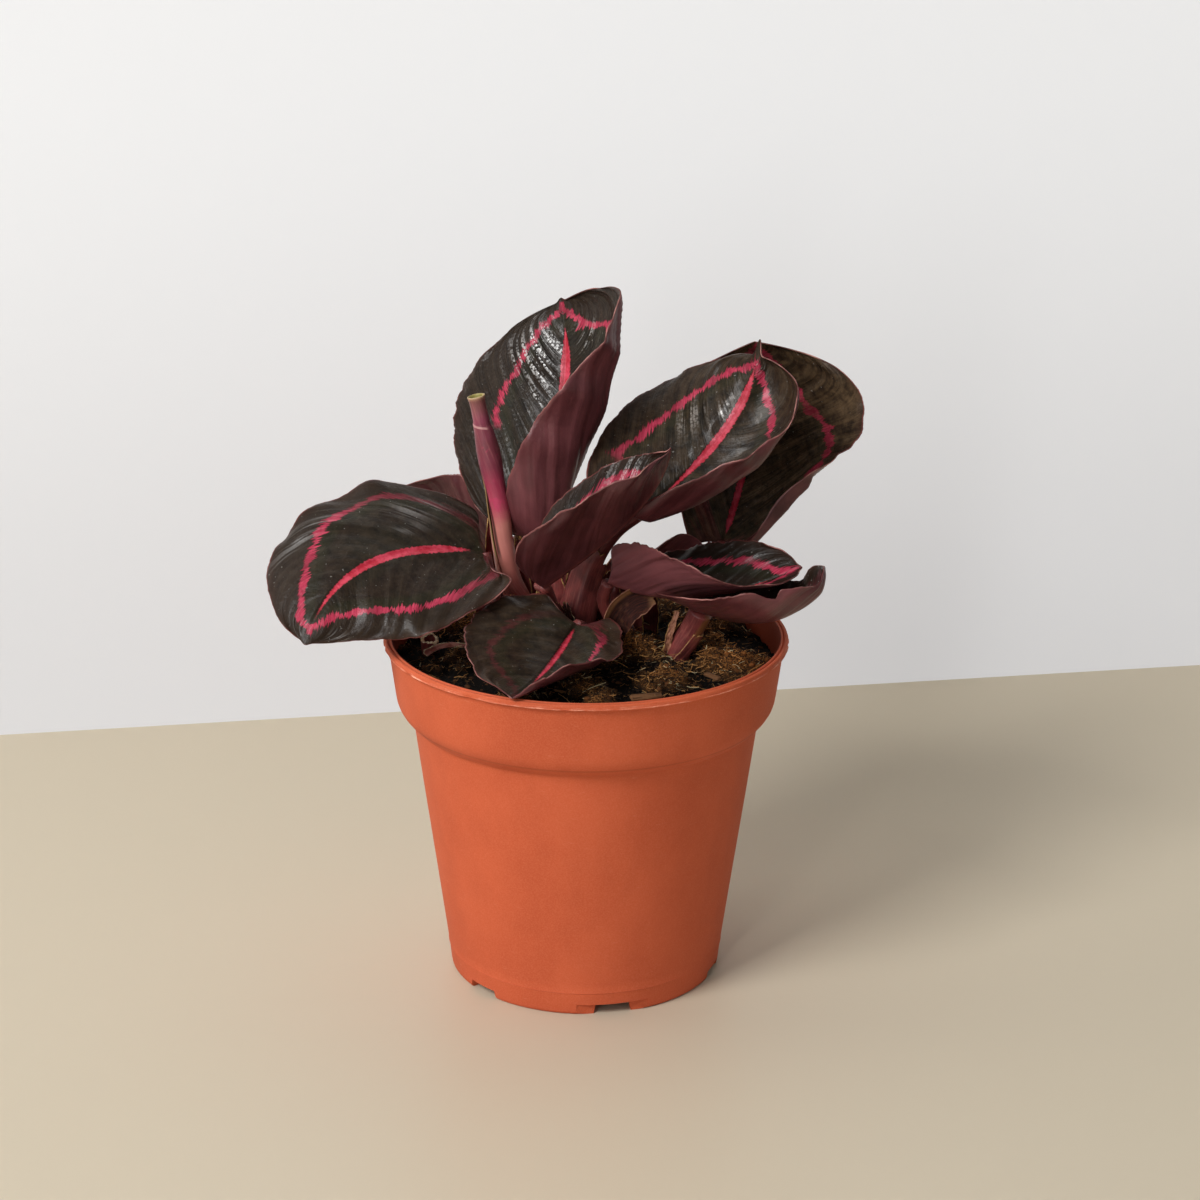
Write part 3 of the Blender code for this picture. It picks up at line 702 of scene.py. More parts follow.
MARKS = {
    "left": dict(
        ring=(
            ((0, 0.5), (0.12, 0.65), (0.28, 0.7), (0.45, 0.68), (0.57, 0.62), (0.67, 0.52), (0.8, 0.36),
             (0.9, 0.12), (0.945, 0)),
            ((0, 0.5), (0.09, 0.58), (0.2, 0.75), (0.39, 0.75), (0.52, 0.68), (0.6, 0.61), (0.69, 0.48),
             (0.8, 0.38), (0.9, 0.34), (0.945, 0)),
        ),
        begins=(0, 0.42), before=0.35, rib=(0.03, 0.2, 0.45, 0.98, 1.15), looks=(0.1, 1, 0.2),
        sheen=((1, 0.6, 0.16, 19, 3, 0.6), (1, 0.24, 0.1, 14, 4, 0.6), (1, 0.3, 0.08, 7, 2, 0.35),
               (-1, 0.93, 0.04, 8, 5, 0.5)),
        sweep=0.45, cleft=0.5, lobe_soft=0.1, drip=(0.7, 1.2, 0.955),
        waves=((1, 0.34, 0.045, 2.1), (1, 0.27, 0.03, 0.6), (1, 0.42, 0.05, -1.5), (1, 0.55, 0.05, 0.8),
               (1, 0.66, 0.04, -0.7), (-1, 0.09, 0.07, 3.4)),
        bulges=((1, 0.78, 0.1, 0.9), (-1, 0.1, 0.06, 1.2)),
    ),
    "tall": dict(
        ring=(
            ((0, 0.3), (0.39, 0.55), (0.46, 0.6), (0.53, 0.57), (0.61, 0.55), (0.68, 0.47), (0.78, 0.45),
             (0.86, 0.35), (0.92, 0.25), (0.97, 0)),
            ((0, 0.5), (0.4, 0.65), (0.7, 0.55), (0.83, 0.45), (0.86, 0.23), (0.97, 0)),
        ),
        begins=(0.4, 0.78), rib=(0.02, 0.1, 0.7, 0.91, 1.35), looks=(0.1, 0.95, 1), pale=0.3,
        sheen=((-1, 0.76, 0.12, 9, 8, 1.3), (1, 0.82, 0.08, 7, 4, 0.7), (-1, 0.55, 0.08, 7, 5, 0.6)),
        sweep=0.75, ridges=0.42, swell=0.7, ragged=1.1, base_out=4, drip=(1, 1, 0.95),
        waves=((1, 0.66, 0.04, -1.8), (1, 0.56, 0.04, 0.8), (1, 0.47, 0.045, -1.8), (1, 0.36, 0.04, 0.9),
               (1, 0.27, 0.04, -1.3), (1, 0.8, 0.05, 0.6)),
        bulges=((-1, 0.9, 0.08, -0.8), (1, 0.9, 0.06, 1.6), (1, 0.97, 0.015, -1.4)),
    ),
    "right_front": dict(
        ring=(
            ((0, 0.5), (0.16, 0.75), (0.28, 0.65), (0.45, 0.6), (0.6, 0.57), (0.74, 0.5), (0.86, 0.4),
             (0.945, 0)),
            ((0, 0.5), (0.4, 0.6), (0.66, 0.43), (0.73, 0.35), (0.79, 0.25), (0.86, 0.18), (0.945, 0)),
        ),
        begins=(0.14, 0.62), rib=(0.05, 0.45, 0.7, 0.97, 1.1), looks=(0.3, 1, 0.8),
        sheen=((-1, 0.5, 0.14, 10, 4, 0.7), (-1, 0.62, 0.1, 3.5, 2, 0.8), (1, 0.93, 0.04, 1, 2, 1)),
        sweep=0.6, ridges=0.34, drip=(4.2, 0.8, 0.96), bulges=((-1, 0.45, 0.25, 0.6),),
        waves=((1, 0.36, 0.05, 1), (1, 0.46, 0.05, -0.8), (1, 0.6, 0.06, 0.7)),
    ),
    "right_back": dict(
        ring=(
            RING,
            ((0, 0.6), (0.4, 0.83), (0.53, 0.75), (0.62, 0.66), (0.66, 0.5), (0.75, 0.33), (0.97, 0)),
        ),
        faint=(0.55, 0.8), rib=(0.02, 0.1, 0.5, 0.9, 0.9), looks=(0.7, 1.6, 0.9),
        sheen=((1, 0.6, 0.25, 14, 8, 0.35), (1, 0.2, 0.1, 8, 8, 0.4)), ridges=0.5,
        bulges=((1, 0.82, 0.14, 0.9),), drip=(0, 1, 0.9), blunt=1.6, hem=(1, 0.2, 0.15, 3.6, 60),
    ),
    "folded": dict(
        ring=(
            ((0, 0.5), (0.28, 0.72), (0.38, 0.73), (0.44, 0.8), (0.57, 0.72), (0.8, 0.4), (0.97, 0)),
            RING,
        ),
        looks=(0, 1.2, 0.8), pale=-0.35, sheen=((-1, 0.6, 0.25, 11, 7, 0.6),), swell=0.9, drip=(1, 1.2, 0.9),
    ),
    "front": dict(
        ring=(
            ((0, 0.6), (0.16, 0.65), (0.27, 0.6), (0.42, 0.57), (0.6, 0.5), (0.97, 0)),
            ((0, 0.5), (0.31, 0.62), (0.5, 0.68), (0.6, 0.65), (0.7, 0.58), (0.97, 0)),
        ),
        faint=(0.95, 0.12), rib=(0, 0.2, 0.4, 0.85, 0.65), looks=(0.2, 0.8, 0.2),
        sweep=0.4, ragged=1.6, drip=(1, 1.5, 0.9),
        waves=((-1, 0.72, 0.14, 2), (-1, 0.5, 0.06, -0.9), (1, 0.2, 0.04, 1.2), (1, 0.3, 0.04, -0.8)),
    ),
    "low_right": dict(
        ring=(
            ((0, 0.5), (0.3, 0.75), (0.47, 0.75), (0.54, 0.7), (0.68, 0.65), (0.78, 0.6), (0.85, 0.47),
             (0.91, 0.25), (0.97, 0)),
            RING,
        ),
        pale=0.6, sheen=((-1, 0.85, 0.1, 8, 5, 0.4),), swell=0.4, ragged=1.6, drip=(0.8, 1.2, 0.9),
        bulges=((-1, 0.93, 0.05, -0.8), (1, 0.06, 0.03, 1.2)),
    ),
    "lowest_right": dict(
        faint=(0.1, 0.1), rib=(0.02, 0.1, 0.3, 0.5, 0.6), pale=0.12, swell=0.3, ragged=1.4,
        waves=((-1, 0.4, 0.28, 5), (-1, 0.72, 0.1, 2), (-1, 0.88, 0.05, -1.5)),
        bulges=((1, 0.6, 0.07, -3.4), (1, 0.9, 0.06, -1.8)), drip=(0, 1.2, 0.9), hook=(0.86, 2, 1.2),
    ),
    "small_back": dict(pale=0.4),
}
print(len(LEAVES), "leaves,", len(MARKS), "of them with marks of their own")


# %% Along the midrib of a blade
def along_curve(leaf, along):
    """The midrib's place, and the directions forward, sideways (right) and up from it."""
    base, middle, tip = (np.array(leaf[key], float) for key in ("base", "middle", "tip"))
    bend = 2 * middle - (base + tip) / 2
    t = along[:, None]
    spine = base * (1 - t) ** 2 + bend * 2 * t * (1 - t) + tip * t * t
    ahead = unit((bend - base) * (1 - t) + (tip - bend) * t)
    facing = [unit(np.array(side, float)) for side in leaf["facing"]]
    sideways = unit(np.cross(ahead, facing[0] * (1 - t) + facing[1] * t))
    return spine, ahead, sideways, np.cross(sideways, ahead)


def by_half(pair, across, along):
    """The value of a ((base, tip), (base, tip)) pair for the left and the right half."""
    left, right = ((start + (end - start) * along) for start, end in pair)
    return np.where(across < 0, left, right)


def spread(leaf, along):
    """The blade's outline: half its width as a share of the widest, along the midrib."""
    blunt, pointed = leaf["outline"]
    widest = blunt / (blunt + pointed)
    return (along / widest) ** blunt * ((1 - along) / (1 - widest)) ** pointed


def crowded(share):
    """Rows close together at both ends, where the outline turns quickly."""
    near = 0.15
    top = near / (4 - 6 * near)
    from_end = np.minimum(share, 1 - share)
    beyond = top + (from_end - near) * (4 * top / near)
    curve = np.where(from_end < near, top * (from_end / near) ** 4, beyond)
    return np.where(share < 0.5, curve, 1 - curve)


# %% The pink ring
def pink_ring(leaf, marks, across, along, from_rib, length):
    """How far each place lies outside the pink ring, in millimetres, and how strong the ring is."""
    strength = np.ones_like(along)
    ring = np.zeros_like(along)
    tries = np.linspace(0, 1, 200)
    for half, pick in enumerate((across < 0, across >= 0)):
        points = np.array(marks["ring"][half])
        where = np.interp(tries, points[:, 0], points[:, 1])
        where = where * leaf["width"][half] * spread(leaf, tries)
        slope = np.gradient(where, tries * length)
        apart = from_rib - np.interp(along, tries, where)
        apart = apart / np.sqrt(1 + np.interp(along, tries, slope) ** 2)
        apex = points[-1, 0]
        past = np.hypot(from_rib, (along - apex) * length)
        ring = np.where(pick, np.where(along > apex, past, apart), ring)
        begins, before = marks["begins"][half], marks["before"]
        shown = before + (1 - before) * step(along, begins - 0.03, begins + 0.03) if begins else 1
        strength = np.where(pick, marks["faint"][half] * shown, strength)
    return ring, strength


# %% The surface of a blade
HEM_STARTS = 0.86


def blade_shape(leaf, marks, seed):
    """The shape of a leaf's middle surface, for lay()."""
    marks = PLAIN | marks
    length = np.linalg.norm(np.array(leaf["tip"], float) - np.array(leaf["base"], float))

    def shape(across, share):
        along = crowded(share)
        # A hemmed half ends where its hem starts, and the columns left over turn on by an angle.
        half, middle, tall, wide, angle = marks["hem"]
        hemmed = np.sign(across) == half
        near = hill(along, middle, tall) * step(along, 0, 0.06)
        hem = hemmed * (wide * near + 0.2)
        hem_bend = np.radians(angle) * near
        turned = hemmed * np.clip((np.abs(across) - HEM_STARTS) / (1 - HEM_STARTS), 0, 1)
        across = np.where(hemmed, np.clip(across / HEM_STARTS, -1, 1), across)

        # Each half is an arc that leaves the midrib at its fold and bends on by its curl.
        spine, ahead, sideways, up = along_curve(leaf, along)
        side, distance = np.sign(across), np.abs(across)
        away = sideways * side[:, None]
        reach = np.where(across < 0, *leaf["width"]) * spread(leaf, along)
        fold = np.radians(by_half(leaf["fold"], across, along))
        curl = np.radians(by_half(leaf["curl"], across, along))
        curl = np.where(np.abs(curl) < 0.001, 0.001, curl)
        end = fold + curl * distance
        out = reach * (np.sin(end) - np.sin(fold)) / curl
        out = out + marks["base_out"] * np.sin(distance * math.pi) * (across > 0) * step(-along, -0.3, 0)
        rise = reach * (np.cos(fold) - np.cos(end)) / curl
        back = leaf["lobe"] * (1 - along) ** 3 * distance ** marks["cleft"]
        soft = marks["lobe_soft"]
        back = back * (step(along, 0, soft) if soft else np.minimum(1, along / 0.04))
        places = spine + away * out[:, None] + up * rise[:, None] - ahead * back[:, None]
        normal = up * np.cos(end)[:, None] - away * np.sin(end)[:, None]

        # Veins, waves and ruffles lift it along its normal.
        from_rib = distance * reach
        vein = (along - marks["sweep"] * distance**1.3) * length
        edge = reach * (1 - distance) + hem * (1 - turned)
        inside = step(from_rib, 0.5, 4) * step(edge, 0, 3)
        apart = side * 9
        ridges = ripple(vein * 0.27, from_rib * 0.02 + apart, seed)
        ridges = ridges + 0.4 * ripple(vein * 0.8, from_rib * 0.02 + apart, seed + 3)
        swell = ripple(vein * 0.09, from_rib * 0.06 + apart, seed + 1)
        ruffle = ripple(vein * 0.16, apart, seed + 2) * distance**4
        lift = marks["ridges"] * ridges * inside + marks["swell"] * swell * inside
        lift = lift + marks["ruffle"] * ruffle
        lift = lift * step(along, 0, 0.08) * step(1 - along, 0, 0.05)
        for half, middle, wide, height in marks["waves"]:
            near = hill(along, middle, wide) * distance**3 * step(along, 0, 0.06)
            lift = lift + height * near * (side == half)
        places = places + normal * lift[:, None]

        # The margin is ragged and bulges, its hem turns on, and the tip is drawn out and bent.
        ragged = 0.35 * ripple(along * length * 0.3, side * 5, seed + 4)
        ragged = ragged + 0.16 * ripple(along * length * 1.2, side * 5, seed + 5)
        ragged = ragged * marks["ragged"]
        for half, middle, wide, amount in marks["bulges"]:
            ragged = ragged + amount * hill(along, middle, wide) * (side == half)
        ragged = ragged * distance**6 * step(along, 0, 0.06) * step(1 - along, 0, 0.03)
        for angle, amount in ((end, ragged), (end + hem_bend, hem * turned)):
            outward = away * np.cos(angle)[:, None] + up * np.sin(angle)[:, None]
            places = places + outward * amount[:, None]
        drip, slim, start = marks["drip"]
        drawn = drip * np.exp(-((from_rib / slim) ** 2)) * step(along, start, 1)
        drawn = drawn - marks["blunt"] * step(along, 0.8, 1)
        places = places + ahead * drawn[:, None]
        bends, lifted, back_by = marks["hook"]
        places = places + step(along, bends, 1)[:, None] * np.array((-back_by, 0, lifted))

        ring, strength = pink_ring(leaf, marks, across, along, from_rib, length)
        starts, full, taper, ends, thick = marks["rib"]
        rib = thick * step(along, starts, full) * (1 - step(along, taper, ends))
        sheen = np.zeros_like(along)
        for half, middle, tall, out_at, wide, amount in marks["sheen"]:
            near = np.exp(-(((along - middle) / tall) ** 2) - ((from_rib - out_at) / wide) ** 2)
            sheen = sheen + amount * near * (side == half)
        kept = {
            "veins": np.stack([from_rib * side, vein, ring], 1),
            "spots": np.stack([along, edge, strength], 1),
            "looks": np.tile(np.array(marks["looks"], float), (len(along), 1)),
            "rib": np.stack([rib, sheen, along * 0 + marks["pale"]], 1),
        }
        return places, kept

    return shape


# %% [markdown]
# ## Skin of the leaves
# The upper side is nearly black, olive inside the ring and browner towards the margin, and has a
# waxy shine that breaks up on fine cells and side veins. Its silvery streaks are a painted sheen
# with a glossy coat laid on the same streaks, and painted shade lies in the creases between them.
# The ring and the midrib are pink, with edges that fray along the veins. The underside is a satin
# burgundy, with painted highlights on its broad folds, lightened on some leaves as painted light
# and darkened on one as painted shade. Painting them on an image would fix their sharpness; here
# the mesh says how far each place is from the ring, the midrib and the margin, and noise
# stretched along the veins frays the edges.

# %% Upper side
def frayed(finish, out, vein, seed=0):
    """Noise whose streaks run along the side veins, between 0 and 1."""
    return finish.grain(out * 0.16, vein * 1.5, seed, 3, 0.65)


upper = Finish("leaf_upper", {"Specular IOR Level": 0.13, "Coat Roughness": 0.14})
out, vein, ring = upper.attribute("veins")
along, edge, strength = upper.attribute("spots")
brown, wide, deep = upper.attribute("looks")
rib_half, sheen, _ = upper.attribute("rib")
spot = upper.place()
streaks = frayed(upper, out, vein)
folds = upper.grain(out * 0.05, vein * 0.36, 4, 3, 0.6)
creases = upper.grain(out * 0.03, vein * 0.5, 11, 2, 0.6)
crease_with_painted_shade = upper.span(abs(creases - 0.5), 0.06, 0.015) * (0.3 + sheen * 0.7) * deep
patches = upper.noise(spot, 0.09, 3, 0.55)
mottle = upper.noise(spot, 0.4, 4, 0.65)
dust = upper.noise(spot, 1.2, 2, 0.5)
cells = upper.node("TexVoronoi", {"Vector": spot, "Scale": 1.5, "Randomness": 0.9}, feature="F1")

# the frayed ring and midrib, and between them the streaks of painted sheen, which also get a glossy coat
fray = (streaks - 0.5) * (3 + 3 * upper.span(patches, 0.4, 0.6))
waver = (upper.grain(vein * 0.16, strength, detail=3) - 0.5) * 3
width = wide * upper.span(upper.grain(vein * 0.22, 7), 0.32, 0.68, 0.5, 1.4)
band = upper.span(abs(ring + fray + waver) - width, 0.15, -0.25) * upper.span(along, 0.03, 0.3, 0.2, 1)
fade = upper.grain(vein * 0.09, strength * 3)
rib = upper.span(abs(out) + (streaks - 0.5) * 1.3 - rib_half, 0.2, -0.1) * upper.span(rib_half, 0.05, 0.3)
bare = 1 - rib
grain = upper.span(cells, 0.66, 0.42)
sheen_painted_and_coated = upper.span(sheen * upper.span(folds, 0.46, 0.58), 0, 1) * (1 - deep + deep * grain) * bare
ring_pink = upper.layers(
    "a02440",
    ("cb4660", 1, streaks, 0.3, 0.7),
    ("6a1f2a", 0.55, fade, 0.5, 0.34),
    ("701a2a", 0.4, mottle, 0.52, 0.38),
)
rib_pink = upper.layers("b02838", ("d24a5e", 1, mottle, 0.35, 0.65))
painted_sheen_colour = upper.layers("d8d6d4", ("8a755c", 1, brown, 0, 0.6))
skin = upper.layers(
    "231a15",
    ("231f18", 1, patches, 0.35, 0.65),
    ("3a3026", 0.28, mottle, 0.45, 0.7),
    ("130d0a", 0.6, mottle, 0.45, 0.3),
    ("281d16", 0.7, ring, -6, 4),
    ("262b1a", 0.35, abs(ring + 2.5), 2.5, 0.5),
    ("443626", 0.2, streaks, 0.5, 0.75),
    ("705a42", brown, folds + mottle, 0.7, 1.4),
    # painted shade in the creases between the streaks of sheen
    ("0d0806", crease_with_painted_shade * 0.75),
    ("402a22", 0.4, edge, 3, 0),
    ("a39f98", 0.5, dust, 0.71, 0.77),
    (ring_pink, band * strength * 0.95),
    (rib_pink, rib),
    ("6e3a36", 1, edge, 0.35, 0.12),
    # painted sheen: silvery streaks painted into the colour
    (painted_sheen_colour, sheen_painted_and_coated * (0.3 + deep * 0.45)),
)
relief = upper.bump(cells, -0.03)
for height, depth in (
    (mottle, 0.25),
    (streaks * bare, 0.03),
    (crease_with_painted_shade * bare, -0.14),
    (folds * deep * (0.35 + sheen) * bare, 0.9),
    (upper.span(abs(out), 0, 1.2), 0.35),
):
    relief = upper.bump(height, depth, relief)
upper.give({
    "Base Color": skin,
    "Roughness": 0.3 + patches * 0.12,
    # the streaks of painted sheen also get a glossy coat
    "Coat Weight": 0.07 + sheen_painted_and_coated * 0.8 + upper.span(mottle, 0.5, 0.65) * 0.12,
    "Normal": relief,
})
print("upper side has", len(upper.tree.nodes), "nodes")

# %% Underside and margin
under = Finish("leaf_underside", {"Specular IOR Level": 0.4})
out, vein, _ = under.attribute("veins")
edge = under.attribute("spots")[1]
pale = under.attribute("rib")[2]
spot = under.place()
streaks = frayed(under, out, vein, 5)
folds = under.grain(out * 0.04, vein * 0.16, 8)
lines = under.grain(out * 0.08, vein * 3.2, 2, 1)
wine = under.layers(
    "431c1f",
    ("613033", 1, under.noise(spot, 0.12, 3, 0.6), 0.3, 0.7),
    ("74393e", 0.14, streaks, 0.4, 0.75),
    ("3a1519", 0.12, lines, 0.45, 0.6),
    # lighter on the broad folds: painted highlight
    ("84494d", 0.3, folds, 0.48, 0.68),
    # painted light on the leaves whose underside is lightened, more on their folds
    ("965a5e", pale * under.span(folds, 0.3, 0.6, 0.5, 1)),
    # painted shade on a leaf whose underside shading is below 0
    ("200c0e", pale * -1),
    ("7c3f3c", 0.5, abs(out), 1.6, 0.5),
    ("7c4644", 1, edge, 0.4, 0.12),
)
relief = under.bump(under.noise(spot, 2.5, 3, 0.7), 0.04)
relief = under.bump(streaks, 0.03, relief)
relief = under.bump(folds, 0.5, relief)
under.give({"Base Color": wine, "Roughness": 0.32 + streaks * 0.12, "Normal": relief})
margin = flecked("leaf_margin", (0.45, 0.35), (0.16, 4, 0.6), (0.4, 0.66), ("552a28", "b98178"))
print("underside has", len(under.tree.nodes), "nodes")

# %% Make the ten blades
BLADE_THICKNESS = 0.28
BIG = 15
for seed, (place, leaf) in enumerate(LEAVES.items()):
    columns, rows = (72, 150) if max(leaf["width"]) > BIG else (40, 80)
    shape = blade_shape(leaf, MARKS.get(place, {}), seed * 3 + 1)
    blade = lay("blade_" + place, columns, rows, shape)
    dress(blade, (upper, under, margin), BLADE_THICKNESS, replaced=["leaf_" + place])

# %% [markdown]
# ## Stems
# Each leaf stands on a burgundy stem that leaves the soil in a clasping sheath and thins towards
# the blade. A bevelled curve would be round all the way, so the stem is a grid wrapped round its
# route, and its radius changes with the height and the angle.

# %% Wrap a grid round a route
def smooth_route(points, steps=12):
    """Places along a smooth curve through the route's points (a Catmull-Rom spline)."""
    points = [np.array(point, float) for point in points]
    padded = [2 * points[0] - points[1], *points, 2 * points[-1] - points[-2]]
    route = []
    for before, start, end, after in zip(padded, padded[1:], padded[2:], padded[3:]):
        for t in np.arange(steps) / steps:
            route.append(
                start
                + (end - before) * (t / 2)
                + (2 * before - 5 * start + 4 * end - after) * (t * t / 2)
                + (3 * start - before - 3 * end + after) * (t**3 / 2)
            )
    return np.array([*route, points[-1]])


def follow(points):
    """A smooth route: a function from along (0 to 1) to its places and directions; its length."""
    route = smooth_route(points)
    steps = np.linalg.norm(np.diff(route, axis=0), axis=1)
    run = np.concatenate([[0], np.cumsum(steps)])
    heading = np.gradient(route, run, axis=0)

    def on_route(along):
        far = along * run[-1]
        centre, ahead = (
            np.stack([np.interp(far, run, values[:, axis]) for axis in range(3)], 1)
            for values in (route, heading)
        )
        return centre, unit(ahead)

    return on_route, run[-1]


def wrap(name, points, radius, columns=32, rows=60, turns=1, trim=None, twist=(0, 0)):
    """A grid wrapped round a route.

    radius(along, angle) gives the distance from the route, trim(angle) the share of the route
    that a column covers, and twist the first column's turn at the foot and what the route adds.
    """
    on_route, length = follow(points)

    def shape(across, along):
        angle = across * math.pi * turns
        along = along * trim(angle) if trim else along
        centre, ahead = on_route(along)
        right = unit(np.array([1.0, 0, 0]) - ahead * ahead[:, :1])
        front = np.cross(right, ahead)
        reach, turn = radius(along, angle), angle + twist[0] + twist[1] * along
        places = centre + right * (reach * np.sin(turn))[:, None] + front * (reach * np.cos(turn))[:, None]
        kept = {
            "wrap": np.stack([angle * reach, along * length, along], 1),
            "turn": np.stack([angle, along * 0, along * 0], 1),
        }
        return places, kept

    return lay(name, columns, rows, shape)


# %% Skin of the stems
stem_skin = Finish("stem_skin", {"Specular IOR Level": 0.5})
round_it, up_it, _ = stem_skin.attribute("wrap")
lines = stem_skin.grain(round_it * 2.2, up_it * 0.12, 0, 3, 0.6)
blotches = stem_skin.noise(stem_skin.place(), 0.25, 3)
x, y, z = stem_skin.from_axis()
# how far from a point on the stem of the lowest right leaf, round which the skin turns ochre
x, y, z = x - 29.6, y + 11, z - 97.5
from_ochre_patch = ((x - z * 0.45) ** 2 + (z * 0.3) ** 2 + y**2 * 0.3) ** 0.5
red = stem_skin.layers(
    "5e2828",
    ("803b38", 1, blotches, 0.35, 0.65),
    ("9c5a4e", 0.6, lines, 0.45, 0.75),
    ("8a5a34", 0.8, from_ochre_patch + blotches, 2.2, 1.2),
)
relief = stem_skin.bump(lines, 0.15)
stem_skin.give({"Base Color": red, "Roughness": 0.32 + lines * 0.15, "Normal": relief})
dry_edge = flecked("dry_edge", (0.7, 0.3), (0.9, 4, 0.65), (0.35, 0.65), ("7d5230", "c29a5e"), 0.2)
print("stem skin has", len(stem_skin.tree.nodes), "nodes")

# %% Make the stems
SOIL_EDGE, SOIL_MOUND, SOIL_RADIUS = 84, 4, 49.2


def soil_height(x, y):
    """Height of the soil's mound at a place."""
    return SOIL_EDGE + SOIL_MOUND * (1 - (x * x + y * y) / SOIL_RADIUS**2)


def from_soil(route, below, above):
    """The route, starting below the soil's top and with a second point above it, in millimetres."""
    x, y = route[0]
    height = soil_height(x, y)
    return [(x, y, height - below), (x, y, height + above), *route[1:]]


for place, leaf in LEAVES.items():
    points = [*from_soil(leaf["stem"], 4, 0), leaf.get("joint", leaf["base"])]
    thick, thin = leaf["stem_radius"]

    def radius(along, angle):
        tube = thin + (thick - thin) * (1 - along) ** 1.3
        groove = 1 - 0.12 * hill(np.abs(angle), 2.6, 0.35)
        return tube * groove

    stem = wrap("petiole_" + place, points, radius)
    settle(stem)
    dress(stem, [stem_skin], replaced=["stem_" + place])

# %% [markdown]
# ## Sheaths
# A calathea's stem starts as a sheath that clasps the younger stems: a wide, open tube with a
# thin margin that dries to ochre. Each is a grid wrapped part of the way round the stem's own
# route. Its columns end at different heights, which draws the slanting margin.

# %% Wrap a sheath round the foot of the main stems
# upper end, thickness at the foot and the end, how far round, which way it opens, how far the
# far margin is cut down, and how far the sheath is turned at the foot and along its way
SHEATHS = {
    "right_front": (0.86, 5.9, 3.6, 0.78, -1, 0.3, (0, 0)),
    "lowest_right": (0.99, 3.1, 3.4, 0.72, -1, 0.05, (1.9, 0.5)),
    "tall": (0.75, 3.6, 2.3, 0.7, 1, 0.4, (0, 0)),
    "folded": (0.7, 3.4, 2.2, 0.7, -1, 0.4, (0, 0)),
    "low_right": (0.75, 3.4, 2.3, 0.7, 1, 0.4, (0, 0)),
}
for place, (end, foot, top, round_share, opens, cut, turned) in SHEATHS.items():
    points = from_soil(LEAVES[place]["stem"], 2, 2)

    def radius(along, angle):
        tube = top + (foot - top) * np.clip(1 - along / end, 0, 1) ** 1.2
        margin_share = np.abs(angle) / (math.pi * round_share)
        flare = 0.9 * step(margin_share, 0.75, 1) * (1 - along)
        return tube * (1 + 0.05 * np.cos(angle * 5 + 1)) + flare

    def trim(angle):
        slant = step(-opens * angle / (math.pi * round_share), -0.2, 1)
        wave = 0.02 * np.sin(angle * 7) + 0.012 * np.sin(angle * 17)
        return end * (1 - cut * slant) + wave

    sheath = wrap("sheath_" + place, points, radius, 56, 70, round_share, trim, turned)
    dress(sheath, (stem_skin, stem_skin, dry_edge), 0.3, -1)

# %% [markdown]
# ## The rolled leaf
# The youngest leaf is still rolled into a tube: a scroll whose outer margin stands off a little
# and winds round its side, open at the top. It starts as a grid wrapped one and a third times
# round, with the inner turn closer in, and gets its thickness from Solidify.

# %% Skin of the young leaf
young = Finish("young_leaf", {"Specular IOR Level": 0.45})
round_it, up_it, share = young.attribute("wrap")
turn = young.attribute("turn")[0]
lines = young.grain(round_it * 1.6, up_it * 0.1, 0, 3, 0.6)
uneven = (young.noise(young.place(), 0.2) - 0.5) * 0.12 * young.span(share, 0.96, 0.88)
stops = (
    (0, "5c2824"), (0.24, "7c3a34"), (0.36, "b46a60"), (0.5, "c47a70"), (0.57, "b4485c"),
    (0.66, "a03650"), (0.73, "84384a"), (0.84, "74343f"), (0.9, "8c3e54"), (0.95, "84484e"),
    (0.984, "7c4846"), (0.995, "a87c64"), (1, "b8a074"),
)
rose = young.node("ValToRGB", {0: share + uneven}, stops=stops)
blotches = young.noise(young.place(), 0.17, 3, 0.6)
blotched = young.span(share, 0.52, 0.6) * young.span(share, 0.88, 0.8)
lower = young.span(share, 0.36, 0.42) * young.span(share, 0.72, 0.66)
collar = young.span(abs(share - 0.887 + turn * 0.0095), 0.005, 0.003) * young.span(turn, 0.9, 0.5)
rose = young.layers(
    rose,
    ("d98f8a", 0.2, lines, 0.45, 0.75),
    ("c23c62", young.span(blotches, 0.52, 0.6) * blotched * 0.8),
    ("94764c", lower, 4.08 - turn, 0.16, 0.06),
    # painted highlight along the step of the collar
    ("dca8a2", collar * 0.55),
    # painted shadow on the inner turn, just beyond the loose outer margin
    ("1d0d0c", lower * 0.85, abs(turn + 1.98), 0.28, 0.1),
)
young.give({"Base Color": rose, "Roughness": 0.42, "Normal": young.bump(lines, 0.12)})
inner_green = Finish("young_leaf_inside", {"Roughness": 0.5})
flecks = inner_green.noise(inner_green.place(), 0.8, 3)
inner_green.give({"Base Color": inner_green.layers("7c7238", ("b5a860", flecks))})
print("young leaf has", len(young.tree.nodes), "nodes")

# %% Roll it
ROLLED_ROUTE = (
    (-13.5, 10), (-16.3, 9.5, 95), (-20, 9.5, 103.5), (-21.6, 9.5, 113), (-23, 9.5, 125), (-28.5, 10, 152.5),
)
ROLLED_RADII = (
    (0, 3.3), (0.2, 3.4), (0.33, 3.1), (0.45, 2.75), (0.55, 2.75), (0.65, 2.8), (0.7, 2.95), (0.75, 3.25),
    (0.8, 3.2), (0.85, 2.8), (0.89, 2.5), (0.92, 2.5), (0.95, 2.4), (0.98, 2.45), (1, 2.7),
)


